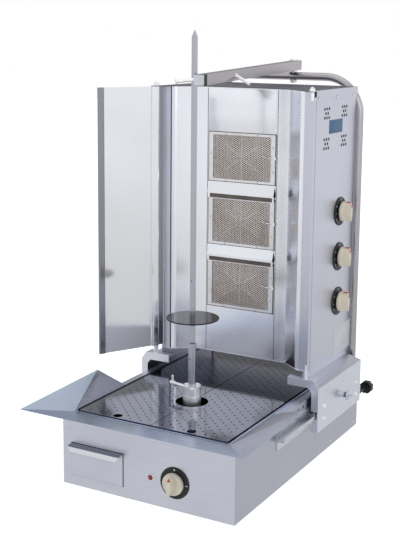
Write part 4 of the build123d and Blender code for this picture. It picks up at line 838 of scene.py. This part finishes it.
capShadow = {"centre": (25, -165.2, 953.2), "size": (26.2, 13.4, 26.2), "bevel": 0.5}
# ends along X, radii there, sides and bevel
lock = {
    "y": 177, "z": 145,
    "lockRing": ((266.8, 269.8), (7.4, 7.4), 28, 0.5), "lockStud": ((280, 285.6), (3.3, 2.8), 20, 0.4),
}


def lockTrim(name, finish):
    (foot, tip), (radius, endRadius), sides, bevel = lock[name]
    shape = bmesh.new()
    addRod(shape, (foot, lock["y"], lock["z"]), (tip, lock["y"], lock["z"]), radius, sides, endRadius)
    softenEdges(shape, sharpEdges(shape), bevel)
    setPiece(name, shape, finish, "lock")


# black block behind the white arm cap, a painted shade round it; black ring and white stud on the side lock
setSoftBlock("capShadowBlock", capShadow["centre"], capShadow["size"], capShadow["bevel"], "blackPlastic", "arm")
lockTrim("lockRing", "blackPlastic")
lockTrim("lockStud", "whitePlastic")
print("controls made")


# small fastenings, vents and blank plates

cabinetScrew = {"x": 230, "ys": (175, 335), "zs": (14,), "radius": 4.2, "height": 2.0, "turn": 0.3}
panelScrew = {"x": 212.4, "ys": (84, 196, 308), "zs": (905, 210), "radius": 3.4, "height": 1.6, "turn": 0.5}
# each plate's middle in Y and Z, then its length and height
plates = {
    "x": 212.6, "thickness": 0.8, "bevel": 0.25,
    "rating": (277, 266, 118, 74), "blue": (194, 832, 84, 34),
}
vents = {
    "shadeSheet": (206.5, 193, 830), "shadeSheetSize": (0.8, 190, 130),
    "ys": (135, 249), "zs": (867, 792),     # middles of the four groups of holes
    "wideRow": (-14, 0, 14), "narrowRow": (-7, 7), "rowPitch": 11,
    "shadeDisc": (212.0, 212.75), "shadeDiscRadius": 3.9, "shadeDiscSides": 16,
}


def sideScrews(name, screw, finish, body):
    shape = bmesh.new()
    for side in (-1, 1):
        for y in screw["ys"]:
            for z in screw["zs"]:
                panScrew(shape, (side * screw["x"], y, z), (side, 0, 0),
                         screw["radius"], screw["height"], screw["turn"])
    setPiece(name, shape, finish, body)


# black sheet behind the vents, with a black disc wider than the hole in each hole: painted shade for the dark
# inside of the vents
def ventShade():
    shape = bmesh.new()
    x, y, z = vents["shadeSheet"]
    inner, outer = vents["shadeDisc"]
    pitch = vents["rowPitch"]
    rows = ((pitch, vents["wideRow"]), (0, vents["narrowRow"]), (-pitch, vents["wideRow"]))
    places = [(groupY + along, groupZ + row) for groupY in vents["ys"] for groupZ in vents["zs"]
              for row, steps in rows for along in steps]
    for side in (-1, 1):
        addBlock(shape, (side * x, y, z), vents["shadeSheetSize"])
        for holeY, holeZ in places:
            addRod(shape, (side * inner, holeY, holeZ), (side * outer, holeY, holeZ),
                   vents["shadeDiscRadius"], vents["shadeDiscSides"])
    setPiece("ventShade", shape, "blackPlastic", "carriage", smooth=0)


# a bare plate riveted to the right side
def blankPlate(name, finish, y, z, length, height):
    setSoftBlock(name, (plates["x"], y, z), (plates["thickness"], length, height), plates["bevel"],
                 finish, "carriage")


sideScrews("cabinetScrews", cabinetScrew, "zinc", "cabinet")
sideScrews("panelScrews", panelScrew, "turnedSteel", "carriage")
ventShade()
blankPlate("blankRatingPlate", "blankPlate", *plates["rating"])
blankPlate("blankBluePlate", "bluePlate", *plates["blue"])
print("fastenings made")


# studio

camera = {
    "place": (1.2387, -2.324, 1.0605),
    "azimuth": 29.33,       # it looks this far left of +Y
    "elevation": -9.44,
    "roll": -0.51,
    "lens": 96.96, "sensor": 36.0, "shiftY": -0.17, "clipEnd": 60.0,
}
# place, what it points at, size, power, and whether metal mirrors it
lights = {
    "keyBox": ((-1.6, -2.4, 2.2), (0, 0, 0.5), (2.6, 2.6), 20.0, False),
    "fillBox": ((2.6, -1.0, 1.6), (0, 0, 0.5), (1.2, 1.8), 6.0, True),
    "topBox": ((0.0, 0.2, 2.8), (0, 0, 0.4), (1.8, 1.8), 7.0, True),
}


def placeCamera():
    a, e = radians(camera["azimuth"]), radians(camera["elevation"])
    forward = Vector((-sin(a) * cos(e), cos(a) * cos(e), sin(e)))
    across = forward.cross(Vector((0, 0, 1))).normalized()
    above = across.cross(forward)
    rolled = Matrix.Rotation(radians(camera["roll"]), 3, forward)
    turn = Matrix((rolled @ across, rolled @ above, -forward)).transposed().to_4x4()

    data = bpy.data.cameras.new("studioCamera")
    data.sensor_fit = "HORIZONTAL"
    data.sensor_width = camera["sensor"]
    data.lens = camera["lens"]
    data.shift_y = camera["shiftY"]
    data.clip_end = camera["clipEnd"]
    studioCamera = bpy.data.objects.new("studioCamera", data)
    studioCamera.matrix_world = Matrix.Translation(camera["place"]) @ turn
    bpy.context.collection.objects.link(studioCamera)
    bpy.context.scene.camera = studioCamera


def softBox(name, place, target, size, power, mirrored):
    data = bpy.data.lights.new(name, "AREA")
    data.shape = "RECTANGLE"
    data.size, data.size_y = size
    data.energy = power
    box = bpy.data.objects.new(name, data)
    box.location = place
    box.visible_glossy = mirrored
    box.rotation_euler = (Vector(target) - Vector(place)).to_track_quat("-Z", "Y").to_euler()
    bpy.context.collection.objects.link(box)


placeCamera()
for name, setting in lights.items():
    softBox(name, *setting)

room = {
    # what metal sees right below and right above, and how pale it is at heights from 0 to 1 between them
    "under": (0.78, 0.78, 0.8, 1), "over": (0.62, 0.63, 0.67, 1),
    "between": ((0.48, 0.9), (0.6, 1.0), (0.8, 0.82)),
    "sideways": (-0.2, 0.9, 1.0, 1.1),      # brighter towards +X
    "rear": (-0.5, 0.86, 0.0), "rearward": (0.55, 0.9, 1.0, 0.4),       # darker behind the grill
    "ambient": (0.95, 0.97, 1.0, 1), "ambientLevel": 0.55,
    "floorSize": 12.0, "floorDrop": -0.0006, "floorGlow": 0.66,
    # floorAway paints shade into the floor that metal mirrors, darker near the grill
    "floorAway": (1.0, 5.5, 0.74, 0.95),    # the floor as metal sees it, darker near the grill
}
white = (1, 1, 1, 1)


# white surroundings for the eye and for the metal, greyer overhead so that the sheet shows its folds
def paperWorld():
    world = bpy.data.worlds.new("paperWorld")
    bpy.context.scene.world = world
    world.use_nodes = True
    tree = world.node_tree
    tree.nodes.clear()
    rays = addNode(tree, "LightPath").outputs
    direction = addNode(tree, "TexCoord").outputs["Generated"]
    parts = addNode(tree, "SeparateXYZ", (direction,)).outputs

    upward = addNode(tree, "MapRange", (parts["Z"], -1.0, 1.0, *fullSpan)).outputs["Result"]
    height = addNode(tree, "ValToRGB", (upward,))
    stops = height.color_ramp.elements
    stops[0].position, stops[0].color = 0.0, room["under"]
    stops[1].position, stops[1].color = 1.0, room["over"]
    for position, level in room["between"]:
        stops.new(position).color = (level, level, level * 1.01, 1)
    sideways = addNode(tree, "MapRange", (parts["X"], *room["sideways"])).outputs["Result"]
    behind = addNode(tree, "VectorMath", (direction, room["rear"]), operation="DOT_PRODUCT")
    rearward = addNode(tree, "MapRange", (behind.outputs["Value"], *room["rearward"])).outputs["Result"]
    level = addNode(tree, "Math", (sideways, rearward), operation="MULTIPLY").outputs[0]
    grey = addNode(tree, "CombineColor", (level, level, level)).outputs["Color"]
    reflected = addNode(tree, "Mix", {0: 1.0, 6: height.outputs["Color"], 7: grey},
                        data_type="RGBA", blend_type="MULTIPLY").outputs[2]

    paper = addNode(tree, "Background", (white, 1.0)).outputs[0]
    mirrored = addNode(tree, "Background", (reflected, 1.0)).outputs[0]
    ambient = addNode(tree, "Background", (room["ambient"], room["ambientLevel"])).outputs[0]
    shiny = addNode(tree, "Math", (rays["Is Glossy Ray"], rays["Is Transmission Ray"]),
                    operation="MAXIMUM").outputs[0]
    lit = addNode(tree, "MixShader", (shiny, ambient, mirrored)).outputs[0]
    seen = addNode(tree, "MixShader", (rays["Is Camera Ray"], lit, paper)).outputs[0]
    addNode(tree, "OutputWorld", (seen,))


# Matt white paper: the eye sees it near white with the grill's shadow, and metal sees it as a pale floor with
# painted shade near the grill.
def whitePaper():
    material, tree, place = newMaterial("matt white paper")
    fibre = addNode(tree, "TexNoise", {"Vector": place, "Scale": 300.0, "Detail": 2.0}).outputs["Fac"]
    bump = addNode(tree, "Bump", {"Height": fibre, "Strength": 0.02, "Distance": 0.0005})
    paper = addNode(tree, "BsdfDiffuse", {"Color": white, "Normal": bump.outputs["Normal"]}).outputs[0]
    rays = addNode(tree, "LightPath").outputs
    glow = addNode(tree, "Emission", (white, room["floorGlow"])).outputs[0]
    both = addNode(tree, "AddShader", (paper, glow)).outputs[0]
    away = addNode(tree, "VectorMath", (place,), operation="LENGTH").outputs["Value"]
    level = addNode(tree, "MapRange", (away, *room["floorAway"])).outputs["Result"]
    bounced = addNode(tree, "Emission", (white, level)).outputs[0]
    unseen = addNode(tree, "MixShader", (rays["Is Glossy Ray"], paper, bounced)).outputs[0]
    mixed = addNode(tree, "MixShader", (rays["Is Camera Ray"], unseen, both)).outputs[0]
    addNode(tree, "OutputMaterial", (mixed,))
    return material


def paperFloor():
    shape = bmesh.new()
    bmesh.ops.create_grid(shape, x_segments=1, y_segments=1, size=room["floorSize"])
    bmesh.ops.translate(shape, verts=shape.verts, vec=(0, 0, room["floorDrop"]))
    mesh = bpy.data.meshes.new("paperFloor")
    shape.to_mesh(mesh)
    shape.free()
    floor = bpy.data.objects.new("paperFloor", mesh)
    bpy.context.collection.objects.link(floor)
    mesh.materials.append(whitePaper())


paperWorld()
paperFloor()
print("studio ready")

bpy.context.scene.view_settings.view_transform = "Standard"
